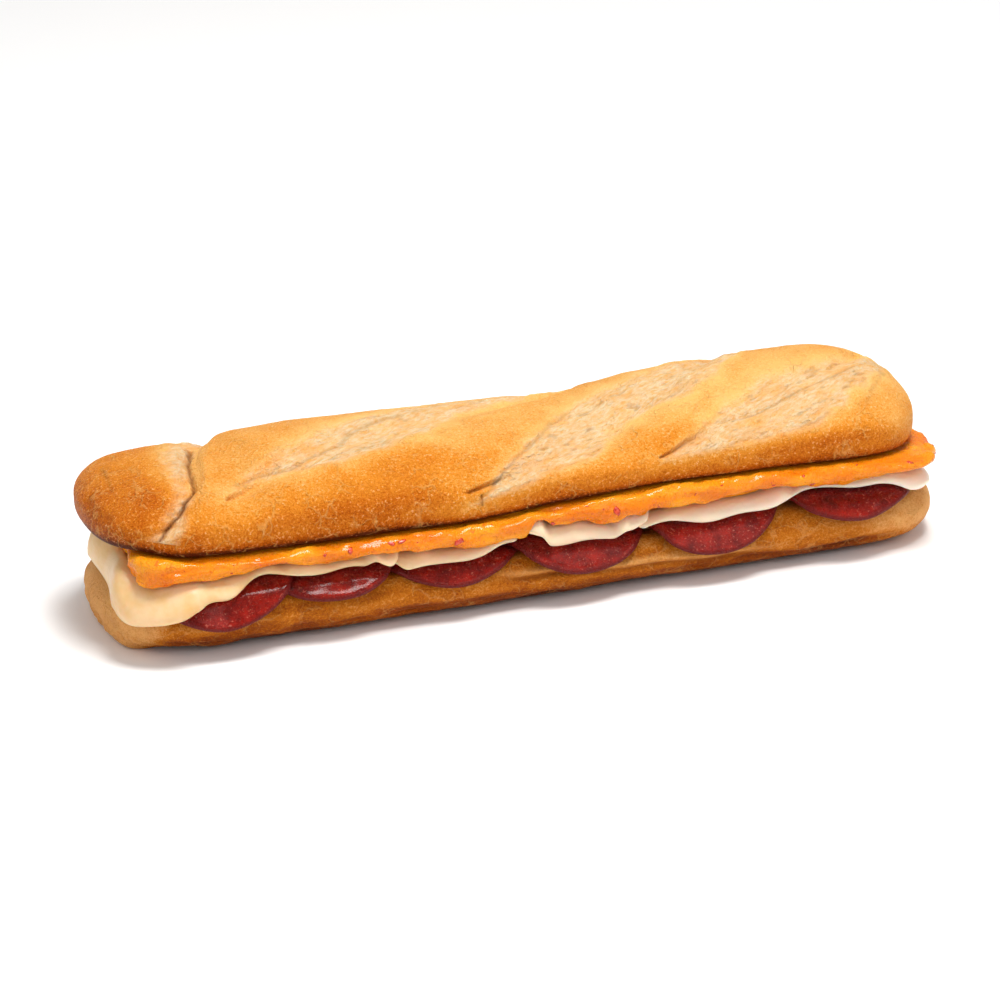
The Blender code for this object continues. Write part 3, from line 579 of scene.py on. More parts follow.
# %% Baking and painted light of the upper half
# Darker spots: place along the roll, distance round the dome, both widths and how much darker
BAKED_SPOTS = (
    (-28, -26, 34, 12, 0.20), (-62, -46, 40, 9, 0.18), (48, -34, 16, 12, 0.16), (104, -52, 26, 6, 0.15),
    (-128, -28, 12, 16, 0.16),
)
round_turn = np.abs(dome_turn)
above_edge = rings[..., 2] - TOP_CUT_HEIGHT - 0.8 * lifts
rim = np.exp(-((np.maximum(above_edge, 0) / 2.6) ** 1.5))
near_torn = soft(1 + inside / 9.0) * (1 - torn)
heel = soft((-112 - dome_x) / 10) * (1 - torn)
bake = 0.30 + 0.10 * lumps(rings, 30.0, 41) + 0.05 * lumps(rings, 9.0, 43)
# Painted light: the dark rim fades towards the right, where the lamp on the right falls
rim = rim * (1.15 - 0.50 * soft((dome_x + 30) / 130))
# Darker far round the dome, partly browning and partly painted shade; the dark rim itself is browning
bake = bake + 0.20 * soft((round_turn - 38) / 18) + 0.80 * rim
# Paler beside the torn bands; the heel and the far left end are darker, partly browning and partly painted
# shade
bake = bake - 0.18 * near_torn * (1 - rim) + 0.20 * heel + 0.18 * soft((-134 - dome_x) / 14)
# Painted highlight: the crown is paler, more so towards the right
bake = bake - 0.13 * soft((40 - round_turn) / 28) * soft((dome_x + 90) / 70)
for x, turn, wide, round_wide, deeper in BAKED_SPOTS:
    spot = ((dome_x - x) / wide) ** 2 + ((dome_turn - turn) / round_wide) ** 2
    bake = bake + deeper * np.exp(-spot)
crumb = np.zeros(torn.shape)
crumb[:10] = 1.0
floury = soft((inside + 2.5) / 6.5) * (0.92 + 0.55 * lumps(fibres, 3.4, 45, 3))
on_dome = turns > 0
torn_mask = np.clip(floury, 0, 1) * on_dome
top_masks = {"bake": bake, "torn": torn_mask, "crevice_shade": crevice_shade * on_dome, "crumb": crumb}
bread_top = body("roll_upper_half", rings, "bread_top", top_masks)

# %% [markdown]
# ## How a slice lies
# Salami and cheese are laid flat on the cut face and droop over its rounded edge. A plan point that falls
# outside the edge rolls over it and then hangs straight, at an angle that changes along the roll. The same
# rule shapes every slice, so the layers follow one another and never cross.

# %% Laying a slice
ROLL_RADIUS, END_EASE = 6.0, 1.0
HANG_ANGLES = ((-150, 62), (-112, 58), (-72, 44), (-30, 50), (14, 55), (62, 58), (113, 40), (150, 48))
bottom_outline = full_outline(BOTTOM_LEFT, BOTTOM_RIGHT, BOTTOM_HALF_WIDTH, BOTTOM_SQUARENESS, 200)
CARRIER = ring_at(bottom_outline, spine_of(bottom_outline, BOTTOM_LEFT, BOTTOM_RIGHT), EDGE_INSET)


def nearest_on_carrier(points):
    """For each plan point, the nearest point of the edge that it rolls over, and how far outside it lies."""
    run = np.roll(CARRIER, -1, axis=0) - CARRIER
    offset = points[:, None, :] - CARRIER[None]
    share = np.clip((offset * run).sum(2) / (run * run).sum(1), 0, 1)
    candidates = CARRIER + share[..., None] * run
    distance = np.hypot(*np.moveaxis(points[:, None, :] - candidates, 2, 0))
    best = distance.argmin(1)
    rows = np.arange(len(points))
    nearest = candidates[rows, best]
    outside = ((points - nearest) * np.column_stack([run[best, 1], -run[best, 0]])).sum(1)
    return nearest, np.where(outside > 0, distance[rows, best], -distance[rows, best])


def lay(plan, lift):
    """Where plan points end up on the bread, this high above it."""
    parts = [nearest_on_carrier(part) for part in np.array_split(plan, len(plan) // 8000 + 1)]
    nearest = np.vstack([part[0] for part in parts])
    outside = np.concatenate([part[1] for part in parts])
    beyond = np.maximum(outside, 0)
    base = np.where(outside[:, None] > 0, nearest, plan)
    outward = np.where(outside[:, None] > 0, plan - nearest, 0)
    outward = outward / np.maximum(np.hypot(*outward.T), 1e-9)[:, None]
    angle = np.minimum(beyond / ROLL_RADIUS, np.radians(along(HANG_ANGLES, base[:, 0])))
    straight = beyond - ROLL_RADIUS * angle
    lift = lift + END_EASE * soft((np.abs(base[:, 0] - 2) - 112) / 12)
    sideways = ROLL_RADIUS * np.sin(angle) + straight * np.cos(angle) + lift * np.sin(angle)
    upwards = ROLL_RADIUS * (np.cos(angle) - 1) - straight * np.sin(angle) + lift * np.cos(angle)
    return at_height(base + outward * sideways[:, None], cut_height(*base.T) + GAP + upwards)


# %% [markdown]
# ## Salami
# Six slices hang over each side, laid like shingles. A slice is a stack of rings: the underside from its
# middle out, the rounded rim, and the upper side back to the middle. The rim is a little thicker, as on real
# sliced sausage, and the face is faintly dimpled where fat has melted out.

# %% Salami sizes
SALAMI_RADIUS, SALAMI_THICKNESS, SALAMI_RIM = 28.5, 1.9, 0.9
# Each slice: its middle's place along the roll, and how far it reaches past the edge
SALAMI_FRONT = ((-109.0, 13.6), (-72.0, 10.6), (-30.0, 10.8), (13.5, 12.6), (62.5, 13.2), (112.0, 11.0))
SALAMI_BACK = ((-107.0, 12.9), (-64.0, 13.9), (-21.5, 12.6), (25.0, 13.8), (70.0, 12.8), (112.0, 13.6))
# The order of laying: slice, the one under it, and the side on which it lies over that one
SALAMI_ORDER = ((3, None, 0), (2, 3, 1), (1, 2, 1), (4, 3, -1), (5, 4, -1), (6, 5, -1))
BACK_LIFT, BACK_RAMP_START, BACK_RAMP_END = 5.7, 21.5, 13.4

# %% Where each slice lies


def salami_middles():
    """Each slice as its row, its number and its middle."""
    for back, slices in ((False, SALAMI_FRONT), (True, SALAMI_BACK)):
        side = 1 if back else -1
        for number, (x_middle, reach) in enumerate(slices, 1):
            yield back, number, x_middle, side * (BOTTOM_HALF_WIDTH - EDGE_INSET + reach - SALAMI_RADIUS)


def leaning(slices):
    """The tilt of each slice, as the place of its foot and its slope, laid one on the next like shingles."""
    tilts = {}
    for number, under, side in SALAMI_ORDER:
        middle = slices[number - 1][0]
        if under is None:
            tilts[number] = (middle, 0.0)
            continue
        foot, tip = middle - side * SALAMI_RADIUS, middle + side * SALAMI_RADIUS
        rest = slices[under - 1][0] - side * SALAMI_RADIUS
        needed = []
        for place in (rest, tip):
            below = (place - tilts[under][0]) * tilts[under][1]
            needed.append((max(below, 0.0) + SALAMI_THICKNESS + GAP) / abs(place - foot))
        tilts[number] = (foot, side * (max(needed) + 0.002))
    return tilts


def salami_lift(plan, tilt, back):
    """Height of a slice's underside above the bread."""
    lift = np.maximum((plan[:, 0] - tilt[0]) * tilt[1], 0.0)
    if back:
        lift = lift + BACK_LIFT * soft((BACK_RAMP_START - plan[:, 1]) / (BACK_RAMP_START - BACK_RAMP_END))
    return lift


# %% Salami slices
tilts = {False: leaning(SALAMI_FRONT), True: leaning(SALAMI_BACK)}
face_radii = np.sqrt(np.linspace(0, 1, 26)) * (SALAMI_RADIUS - SALAMI_RIM)
rim_angles = np.linspace(-np.pi / 2, np.pi / 2, 9)
rim_radii = SALAMI_RADIUS - SALAMI_RIM + SALAMI_RIM * np.cos(rim_angles)
radii = np.concatenate([face_radii[:-1], rim_radii, face_radii[-2::-1]])
shares = np.concatenate([np.zeros(25), 0.5 + 0.5 * np.sin(rim_angles), np.ones(25)])
spokes = np.linspace(0, 2 * np.pi, 150, endpoint=False)
salami = []
for back, number, x_middle, y_middle in salami_middles():
    # The seed makes each slice a little different from the next
    seed = number + 10 * back
    wave = 1 + 0.010 * np.sin(3 * spokes + seed) + 0.006 * np.sin(7 * spokes + 2 * seed)
    discs = []
    for radius, share in zip(radii, shares):
        reach_out = radius * (1 + (wave - 1) * radius / SALAMI_RADIUS)
        plan = np.column_stack([np.cos(spokes), np.sin(spokes)]) * reach_out[:, None] + (x_middle, y_middle)
        flat = at_height(plan, np.full(len(plan), seed * 40.0))
        dimple = 0.10 * lumps(flat, 3.0, 51, 2) * min((SALAMI_RADIUS - radius) / 2.5, 1.0)
        dimple = dimple + 0.16 * hump(SALAMI_RADIUS - 1.6 - radius, 1.1)
        curl = 0.30 * lumps(flat, 14.0, 53) * (radius / SALAMI_RADIUS) ** 2
        lift = salami_lift(plan, tilts[back][number], back)
        discs.append(lay(plan, lift + share * (SALAMI_THICKNESS + dimple) + np.abs(curl)))
    to_rim = np.repeat(radii / SALAMI_RADIUS, len(spokes))
    name = f"salami_{'back' if back else 'front'}_{number}"
    salami.append(body(f"{name}_slice", discs, name, {"to_rim": to_rim}))

# %% [markdown]
# ## The soft cover
# Melted cheese doesn't follow each step of the salami below it: it bridges the small ones and sags over the
# large ones. A height map of the salami, spread out and then blurred, is what the cheese lies on.

# %% Soft cover over the salami
COVER_STEP = 2.0
cover_x, cover_y = np.arange(-160, 166, COVER_STEP), np.arange(-50, 52, COVER_STEP)


def salami_top(plan):
    """Height of the salami's upper side above the bread, and 0 where there is none."""
    height = np.zeros(len(plan))
    for back, number, x_middle, y_middle in salami_middles():
        inside = np.hypot(plan[:, 0] - x_middle, plan[:, 1] - y_middle) < SALAMI_RADIUS
        top = salami_lift(plan, tilts[back][number], back) + SALAMI_THICKNESS
        height = np.where(inside, np.maximum(height, top), height)
    return height


def spread(height, distance, step):
    """Each height becomes the greatest within this distance."""
    reach = int(distance // step)
    greatest = height
    for across in range(-reach, reach + 1):
        for up in range(-reach, reach + 1):
            if np.hypot(across, up) * step <= distance:
                greatest = np.maximum(greatest, np.roll(height, (across, up), (0, 1)))
    return greatest


def blur(height):
    """Each height becomes the mean of the nine round it."""
    shifts = [(across, up) for across in (-1, 0, 1) for up in (-1, 0, 1)]
    return sum(np.roll(height, shift, (0, 1)) for shift in shifts) / len(shifts)


def read_map(height, xs, ys, plan):
    """A height map read between its points."""
    across = np.clip((plan[:, 0] - xs[0]) / (xs[1] - xs[0]), 0, len(xs) - 1.001)
    up = np.clip((plan[:, 1] - ys[0]) / (ys[1] - ys[0]), 0, len(ys) - 1.001)
    column, row = across.astype(int), up.astype(int)
    a, b = across - column, up - row
    low = height[column, row] * (1 - a) + height[column + 1, row] * a
    high = height[column, row + 1] * (1 - a) + height[column + 1, row + 1] * a
    return low * (1 - b) + high * b


# %% The cover itself
grid_x, grid_y = np.meshgrid(cover_x, cover_y, indexing="ij")
steps = salami_top(np.column_stack([grid_x.ravel(), grid_y.ravel()])).reshape(grid_x.shape)
near_edge = soft((np.abs(grid_y) - 20) / 8)
cover = spread(steps, 10.0, COVER_STEP) * (1 - near_edge) + spread(steps, 8.3, COVER_STEP) * near_edge
cover = blur(blur(cover))
print("salami stands", round(float(cover.max()), 1), "mm above the bread at most")

# %% [markdown]
# ## Cheese
# Four melted slices droop over the salami, and the first hangs far over the front left corner. Each is a grid
# of plan points, laid once for its underside and once for its upper side. Towards the edge the two sides meet
# in a round bead, because melted cheese has no sharp edge. Folds and soft waves are added to the upper side.

# %% Cheese sizes
CHEESE_THICKNESS, CHEESE_MIDDLE_THICKNESS = 4.1, 2.0
CHEESE_REACH, CHEESE_CORNER_REACH = 34.4, 2.4
CHEESE_CORNER_RADII = ((12.0, 7.0), (6.0, 4.5), (6.0, 3.2), (3.6, 13.0))
CHEESE_SPANS = ((-143.0, -48.5), (-53.5, -6.5), (-12.0, 39.0), (33.5, 141.5))
CHEESE_LAP, CHEESE_LAP_SLACK, CHEESE_LEFT_PUFF, CHEESE_RIGHT_LOBE = 9.0, 0.2, 1.2, 3.0
CHEESE_LEFT_BULGE, CHEESE_LEAN, CHEESE_BACK_LEAN = 8.0, 2.2, 6.0
# Tongues of the hanging edge: place along the roll, how far they hang down, and width
CHEESE_TONGUES = ((-114, 1.5, 9), (-99, -2.0, 8), (112, -1.8, 26))
CHEESE_DRAPE = (-126, 2.2, 8)
# Where two slices lap, how much of their thickness has run away there, and which they are
CHEESE_THINNED = ((-51.0, 0.42, (1, 2)), (36.0, 0.25, (3, 4)))
BEAD = 3.4
# Folds on the upper side: place along the roll, lean, height and width
CHEESE_FOLDS = (
    (-95.5, 0.9, 1.1, 2.2), (-92.0, 0.9, -0.7, 1.6), (87.5, -0.7, 1.0, 2.4), (91.5, -0.7, -0.9, 1.6),
    (-126.0, 1.6, 0.5, 4.0),
)

# %% Thickness and laps of the cheese


def cheese_thickness(y):
    """The cheese is pressed thinner over the middle of the roll."""
    share = soft((np.abs(y) - 15) / 16)
    return CHEESE_MIDDLE_THICKNESS + (CHEESE_THICKNESS - CHEESE_MIDDLE_THICKNESS) * share


def thickness_at(plan, number):
    """The thickness of a slice, less where it laps its neighbour."""
    thick = cheese_thickness(plan[:, 1])
    for place, loss, numbers in CHEESE_THINNED:
        thick = thick * (1 - loss * soft(1.6 - np.abs(plan[:, 0] - place) / 7) * (number in numbers))
    return thick


def cheese_lap(plan, number):
    """Where two slices lap, the third lies on both its neighbours, and the first on the second."""
    x = plan[:, 0]
    rise = thickness_at(plan, number) + GAP + CHEESE_LAP_SLACK
    share = np.zeros(len(x))
    if number == 1:
        share = soft((x - CHEESE_SPANS[1][0] + CHEESE_LAP) / (CHEESE_LAP * 0.5))
        share = share + CHEESE_LEFT_PUFF / rise * soft((-108 - x) / 14)
    if number == 3:
        low = soft((CHEESE_SPANS[1][1] + CHEESE_LAP - x) / (CHEESE_LAP * 0.5))
        high = soft((x - CHEESE_SPANS[3][0] + CHEESE_LAP) / (CHEESE_LAP * 0.5))
        share = np.maximum(low, high)
    return rise * share


def cheese_under(plan, number):
    """Height of a cheese slice's underside above the bread."""
    return read_map(cover, cover_x, cover_y, plan) + 2 * GAP + cheese_lap(plan, number)


# %% Plan of a cheese slice


def cheese_plan(number, share, x):
    """Plan points of one row of a slice, its corners rounded."""
    start, end = CHEESE_SPANS[number - 1]
    corner = soft((-112 - x) / 14)
    wave = 0.7 * np.sin(x * 0.11) + 0.5 * np.sin(x * 0.23 + 1.0)
    for place, high, wide in CHEESE_TONGUES:
        wave = wave + high * hump(x - place, wide)
    place, high, wide = CHEESE_DRAPE
    reach = CHEESE_REACH + CHEESE_CORNER_REACH * corner + wave * (1 - corner) + high * hump(x - place, wide)
    y = share * reach
    from_end = np.minimum(x - start, end - x)
    radius = np.where(x - start < end - x, *CHEESE_CORNER_RADII[number - 1])
    long_part = np.clip((radius - from_end) / radius, 0, 1)
    wide_part = np.clip((np.abs(y) - reach + radius) / radius, 0, 1)
    x_shift = radius * long_part * (1 - np.sqrt(1 - wide_part**2 / 2))
    y_shift = radius * wide_part * (1 - np.sqrt(1 - long_part**2 / 2))
    moved = np.where(x - start < end - x, x + x_shift, x - x_shift)
    y = np.where(y < 0, y + y_shift, y - y_shift)
    if number == 1:
        lean = CHEESE_LEAN * soft((share + 1.0) / 0.6) + CHEESE_BACK_LEAN * soft((share - 0.12) / 0.3)
        moved = moved + lean * (end - moved) / (end - start)
    if number == 4:
        towards_end = ((moved - start) / (end - start)) ** 4
        moved = moved + CHEESE_RIGHT_LOBE * soft((share + 0.6) / 0.35) * towards_end
    return np.column_stack([moved, y])


def towards_ends(low, high, step, edge):
    """Places between two ends, closer together within the rounded edge."""
    fine = edge * (1 - np.cos(np.linspace(0, np.pi / 2, 9)))
    inner = np.linspace(low + edge, high - edge, int((high - low - 2 * edge) / step) + 2)
    return np.concatenate([low + fine[:-1], inner, (high - fine[:-1])[::-1]])


# %% Cheese slices
# The bead's middle lies at this share of the thickness
BEAD_MIDDLE = 0.42
cheese = []
for number, (start, end) in enumerate(CHEESE_SPANS, 1):
    x = towards_ends(start, end, 0.8, BEAD)
    shares = towards_ends(-1, 1, 0.8 / CHEESE_REACH, BEAD / CHEESE_REACH)
    plan = np.array([cheese_plan(number, share, x) for share in shares])
    flat = plan.reshape(-1, 2)
    to_end = np.minimum(x - start, end - x)[None, :]
    to_side = ((1 - np.abs(shares)) * CHEESE_REACH)[:, None]
    edge = np.minimum(np.minimum(to_end, to_side) / BEAD, 1).reshape(-1)
    bead = np.sqrt(np.maximum(1 - (1 - edge) ** 2, 0))
    thick = thickness_at(flat, number)
    here = at_height(flat, np.full(len(flat), number * 30.0))
    waves = 0.40 * lumps(here, 12.0, 61) + 0.10 * lumps(here * (1, 1.6, 1), 5.0, 63)
    pillow = soft((flat[:, 0] + 10) / 6) * soft((26 - flat[:, 0]) / 14)
    waves = waves + 1.6 * pillow * (number == 3) * soft((-16 - flat[:, 1]) / 10)
    for place, lean, high, wide in CHEESE_FOLDS:
        off = flat[:, 0] - place - lean * (np.abs(flat[:, 1]) - 31)
        hanging = soft((np.abs(flat[:, 1]) - 18) / 10) * (flat[:, 1] < 0)
        waves = waves + high * hump(off, wide) * hanging
    under = cheese_under(flat, number)
    lower = lay(flat, under + thick * BEAD_MIDDLE * (1 - bead)).reshape(*plan.shape[:2], 3)
    upper = lay(flat, under + thick * (BEAD_MIDDLE + (1 - BEAD_MIDDLE) * bead) + waves * bead)
    # At the left tip the first slice swells up to the crust
    swollen = soft((-131 - flat[:, 0]) / 8) * soft((flat[:, 1] + 34) / 16) * soft((22 - flat[:, 1]) / 12)
    upper[:, 2] += CHEESE_LEFT_BULGE * swollen * bead
    upper = upper.reshape(*plan.shape[:2], 3)
    cheese.append((number, lower, upper))
print(len(cheese), "slices of cheese laid")

# %% [markdown]
# ## Closing a slice
# A grid of points is an open surface. The rows below and above share the points of their outer edge, so that
# the two sides close into one solid with no seam that light could leak through.

# %% Cheese meshes


def sheet(name, lower, upper, node, masks):
    """A closed sheet from a grid below and a grid above that meet in a shared edge."""
    rows, columns = lower.shape[:2]
    number = np.arange(rows * columns).reshape(rows, columns)
    rim = np.zeros((rows, columns), bool)
    rim[0] = rim[-1] = rim[:, 0] = rim[:, -1] = True
    middle = (lower + upper) / 2
    lower, upper = (np.where(rim[..., None], middle, part) for part in (lower, upper))
    above = np.where(rim, number, number + rows * columns)
    faces = []
    for ids, flip in ((number, True), (above, False)):
        quads = np.stack([ids[:-1, :-1], ids[:-1, 1:], ids[1:, 1:], ids[1:, :-1]], axis=-1).reshape(-1, 4)
        faces += (quads[:, ::-1] if flip else quads).tolist()
    points = np.vstack([lower.reshape(-1, 3), upper.reshape(-1, 3)])
    used = np.unique(np.array(faces))
    renumber = np.zeros(len(points), int)
    renumber[used] = np.arange(len(used))
    faces = renumber[np.array(faces)].tolist()
    kept = {mask: np.tile(np.asarray(values).reshape(-1), 2)[used] for mask, values in masks.items()}
    return stand_for(smooth_object(name, points[used], faces, kept), node)


cheese_pieces = []
for number, lower, upper in cheese:
    thin = np.clip(1 - np.linalg.norm(upper - lower, axis=-1) / CHEESE_THICKNESS, 0, 1)
    cheese_pieces.append(sheet(f"cheese_{number}_melted", lower, upper, f"cheese_{number}", {"thin": thin}))

# %% [markdown]
# ## Chilli sauce
# A thick orange sauce is squeezed out between cheese and crust in a fat bead with a wavy lower edge. Its
# inner part is never seen, but it still lies on the cheese, so a height map of the cheese tells it how low it
# may go. The bead is round in section, and streaks left by the spoon run along it.

# %% Sauce sizes
SAUCE_LEFT, SAUCE_RIGHT, SAUCE_END_LENGTH = -137.5, 147.4, 19.0
SAUCE_HALF_WIDTH, SAUCE_SQUARENESS, SAUCE_SLACK = 40.0, 4.2, 0.9
# How high the bead's lower edge lies along the roll
SAUCE_LOBES = (
    (-139, 24.5), (-126, 24.0), (-108, 28.2), (-94, 29.8), (-71, 27.4), (-54, 28.6), (-40, 26.6),
    (-24, 25.0), (-8, 25.6), (0, 28.4), (12, 28.8), (22, 26.8), (32, 24.6), (40, 28.8),
    (55, 28.6), (69, 30.0), (88, 30.4), (106, 28.2), (124, 29.0), (140, 29.6), (153, 29.6),
)
# How far the bead bulges outwards along the roll
SAUCE_SWELL = (
    (-139, 1.4), (-122, 0.8), (-78, 0.6), (-61, 1.8), (-46, 0.8), (-26, 1.6),
    (-8, 2.0), (2, 1.0), (20, 1.0), (32, 3.0), (43, 0.8), (150, 0.8),
)

# %% The room over the cheese
map_x, map_y = np.arange(-160, 166, 1.0), np.arange(-52, 53, 1.0)
cheese_map = np.zeros((len(map_x), len(map_y)))
for number, lower, upper in cheese:
    spots = upper.reshape(-1, 3)
    columns, rows = np.round(spots[:, :2] - (map_x[0], map_y[0])).astype(int).T
    np.maximum.at(cheese_map, (columns, rows), spots[:, 2])
# The further in a part of the sauce lies, the wider the stretch of cheese that it has to clear
cheese_clear = {}
for reach in (2.0, 5.5, 8.0):
    cheese_clear[reach] = blur(blur(blur(spread(cheese_map, reach, 1.0)))) + 2 * GAP
print("cheese stands", round(float(cheese_map.max()), 1), "mm high at most")

# %% Outline of the sauce
outline = full_outline(SAUCE_LEFT, SAUCE_RIGHT, SAUCE_HALF_WIDTH, SAUCE_SQUARENESS, 400, SAUCE_END_LENGTH)
spine = spine_of(outline, SAUCE_LEFT, SAUCE_RIGHT, SAUCE_END_LENGTH)
pulled_in = 4.5 * soft((outline[:, 0] - 134) / 12) * soft((outline[:, 1] + 24) / 26)
drawn_out = 3.5 * soft((-124 - outline[:, 0]) / 10) * soft((-12 - outline[:, 1]) / 18)
blunted = 2.2 * soft((outline[:, 0] - 132) / 12) * soft((-16 - outline[:, 1]) / 14)
outline[:, 0] = outline[:, 0] - pulled_in - drawn_out - blunted
x = outline[:, 0]
swell = along(SAUCE_SWELL, x) + 0.3 * np.sin(x * 0.19) + 0.3 * np.sin(x * 0.41 + 2.0)
outline = ring_at(outline, spine, -swell * soft((np.abs(outline[:, 1]) - 16) / 8))
print("sauce in plan", np.round(np.ptp(outline, axis=0), 1), "mm")

# %% Sauce rings
# From the inside out under the bead, round the bead, and back in over it; 99 mm in is the spine itself
rings = []
for inset, reach in ((99.0, 8.0), (25.0, 8.0), (14.0, 8.0), (8.0, 8.0), (6.0, 5.5)):
    ring = ring_at(outline, spine, inset)
    rings.append(at_height(ring, read_map(cheese_clear[reach], map_x, map_y, ring)))
low = along(SAUCE_LOBES, outline[:, 0]) + 0.5 * lumps(at_height(outline, np.zeros(len(outline))), 7.0, 71)
high = TOP_CUT_HEIGHT + along(EDGE_LIFTS, outline[:, 0]) * 0.8 - GAP - 0.1
for angle in np.radians(np.linspace(-90, 84, 30)):
    inset = 5.6 * (1 - np.cos(angle) ** 0.8)
    share = 0.5 + 0.5 * np.sin(angle)
    ring = ring_at(outline, spine, inset)
    clear = read_map(cheese_clear[2.0], map_x, map_y, ring) - GAP
    lowest = np.maximum(low, clear)
    rings.append(at_height(ring, np.maximum(lowest + (high - lowest) * share, clear)))
for inset in (9.0, 15.5, 22.5, 99.0):
    ring = ring_at(outline, spine, inset)
    slack = 0.15 if inset < 10 else SAUCE_SLACK
    rings.append(at_height(ring, top_cut_height(*ring.T) - GAP - slack))
rings = np.array(rings)
print("sauce:", len(rings), "rings of", len(outline), "points")

# %% Relief of the sauce
streaks = lumps(rings * (0.45, 1, 1.3), 5.0, 73, 3)
folds = 1 - 2 * np.abs(lumps(rings * (0.4, 1, 1), 6.5, 77, 2))
on_bead = np.zeros(rings.shape[:2])
on_bead[7:33] = 1.0
dimples = lumps(rings * (0.7, 1, 1), 3.2, 79, 2)
rings = rings + out_of(rings) * (on_bead * (0.60 * streaks + 0.50 * folds + 0.45 * dimples))[..., None]
sauce = body("chilli_sauce", rings, "sauce", {"streak": streaks * 0.5 + 0.5})

# %% [markdown]
# ## Chilli flecks
# Bits of red chilli skin lie in the sauce. Each is a small curved flake with a ragged outline, set into the
# bead at its own angle. They are one joined piece, as nobody will ever want to move one of them alone.

# %% Chilli flecks
draw = np.random.default_rng(5)
bead_points = rings[9:30]
bead_out = out_of(rings)[9:30]
flecks, faces = [], []
FLECK_COUNT, FLECK_CORNERS = 150, 9
FLECK_SMALLEST, FLECK_MORE = 0.30, 1.7


def add_fleck(centre, out, long_way, size, ratio):
    """Adds one flake: a ragged dome with a flat back."""
    out = out / np.linalg.norm(out)
    long_way = long_way - out * (long_way @ out)
    long_way = long_way / max(np.linalg.norm(long_way), 1e-6)
    wide_way = np.cross(out, long_way)
    turn = np.linspace(0, 2 * np.pi, FLECK_CORNERS, endpoint=False)
    radius = size * (1 + 0.25 * draw.uniform(-1, 1, FLECK_CORNERS))
    first = len(flecks)
    for high, wide in ((-0.45, 0.7), (0.02, 1.0), (0.14, 0.62)):
        for place in range(FLECK_CORNERS):
            across = long_way * np.cos(turn[place]) + wide_way * np.sin(turn[place]) * ratio
            flecks.append(centre + across * radius[place] * wide + out * high)
    flecks.append(centre - out * 0.5)
    flecks.append(centre + out * 0.18)
    for place in range(FLECK_CORNERS):
        after = (place + 1) % FLECK_CORNERS
        for level in (0, FLECK_CORNERS):
            a, b = first + level + place, first + level + after
            faces.append((a, b, b + FLECK_CORNERS, a + FLECK_CORNERS))
        faces.append((first + after, first + place, first + 3 * FLECK_CORNERS))
        top = first + 2 * FLECK_CORNERS
        faces.append((top + place, top + after, first + 3 * FLECK_CORNERS + 1))


for _ in range(FLECK_COUNT):
    row, place = draw.integers(0, len(bead_points)), draw.integers(0, bead_points.shape[1])
    lengthwise = np.array([1.0, 0.0, 0.0]) + draw.normal(0, 0.5, 3)
    # Most flecks are small: the fourth power of a share is seldom large
    size = FLECK_SMALLEST + FLECK_MORE * draw.random() ** 4
    add_fleck(bead_points[row, place], bead_out[row, place], lengthwise, size, draw.uniform(0.35, 0.8))
chilli_flecks = smooth_object("chilli_flecks", flecks, faces, {})
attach(chilli_flecks, "root")
print(FLECK_COUNT, "flakes in one piece")

# %% [markdown]
# ## Node helpers
# Materials are built from nodes. A few small helpers keep each material readable: one adds a node with its
# settings and sockets, others add the kinds of node that come up most, and one makes an empty group with
# named inputs and outputs.

# %% Node helpers


def add(tree, kind, sockets=None, **settings):
    """Adds a node: each socket takes a value, or the output of another node."""
    made = tree.nodes.new(kind)
    for name, value in settings.items():
        setattr(made, name, value)
    for socket, value in (sockets or {}).items():
        if isinstance(value, bpy.types.NodeSocket):
            tree.links.new(value, made.inputs[socket])
        else:
            made.inputs[socket].default_value = value
    return made


def mix(tree, share, first, second, way="MIX"):
    """The colour between two colours."""
    made = add(tree, "ShaderNodeMix", {0: share, 6: first, 7: second}, data_type="RGBA", blend_type=way)
    return made.outputs[2]


def ranged(tree, value, low, high, new_low=0.0, new_high=1.0):
    """A value moved from one range to another and held inside it."""
    kind = {"Value": value, "From Min": low, "From Max": high, "To Min": new_low, "To Max": new_high}
    return add(tree, "ShaderNodeMapRange", kind).outputs[0]


def maths(tree, way, first, second=0.0):
    """One sum on two values."""
    return add(tree, "ShaderNodeMath", {0: first, 1: second}, operation=way).outputs[0]


def noise(tree, place, millimetres, detail=2.0, roughness=0.5):
    """Noise whose lumps are about this wide."""
    sockets = {"Vector": place, "Scale": 1000.0 / millimetres, "Detail": detail, "Roughness": roughness}
    return add(tree, "ShaderNodeTexNoise", sockets).outputs[0]


# %% Helpers for places, groups and colours


def place_on(tree):
    """The place of each point on its own object, which doesn't slide when the piece is moved."""
    return add(tree, "ShaderNodeTexCoord").outputs["Object"]


def group(name, inputs, outputs):
    """An empty node group with named sockets: each input as its name, kind and value."""
    tree = bpy.data.node_groups.new(name, "ShaderNodeTree")
    for label, kind, value in inputs:
        socket = tree.interface.new_socket(label, in_out="INPUT", socket_type=f"NodeSocket{kind}")
        socket.default_value = value
    for label, kind in outputs:
        tree.interface.new_socket(label, in_out="OUTPUT", socket_type=f"NodeSocket{kind}")
    print("node group", name)
    return tree, tree.nodes.new("NodeGroupInput").outputs, tree.nodes.new("NodeGroupOutput").inputs


def colour(red, green, blue):
    """A colour as a paint program gives it, turned into the linear one that Blender wants."""
    parts = np.array([red, green, blue]) / 255
    linear = np.where(parts > 0.04045, ((parts + 0.055) / 1.055) ** 2.4, parts / 12.92)
    return (*linear.tolist(), 1.0)


# %% [markdown]
# ## Oven crust
# Both halves of the roll share one effect: crust that goes from pale gold to dark brown with baking and with
# the painted light and shade carried in the same mask, torn bands dusted with flour, painted shade in
# crevices, and the open crumb of the cut. It is one group with its colours as inputs, so that each half can
# be baked its own way.

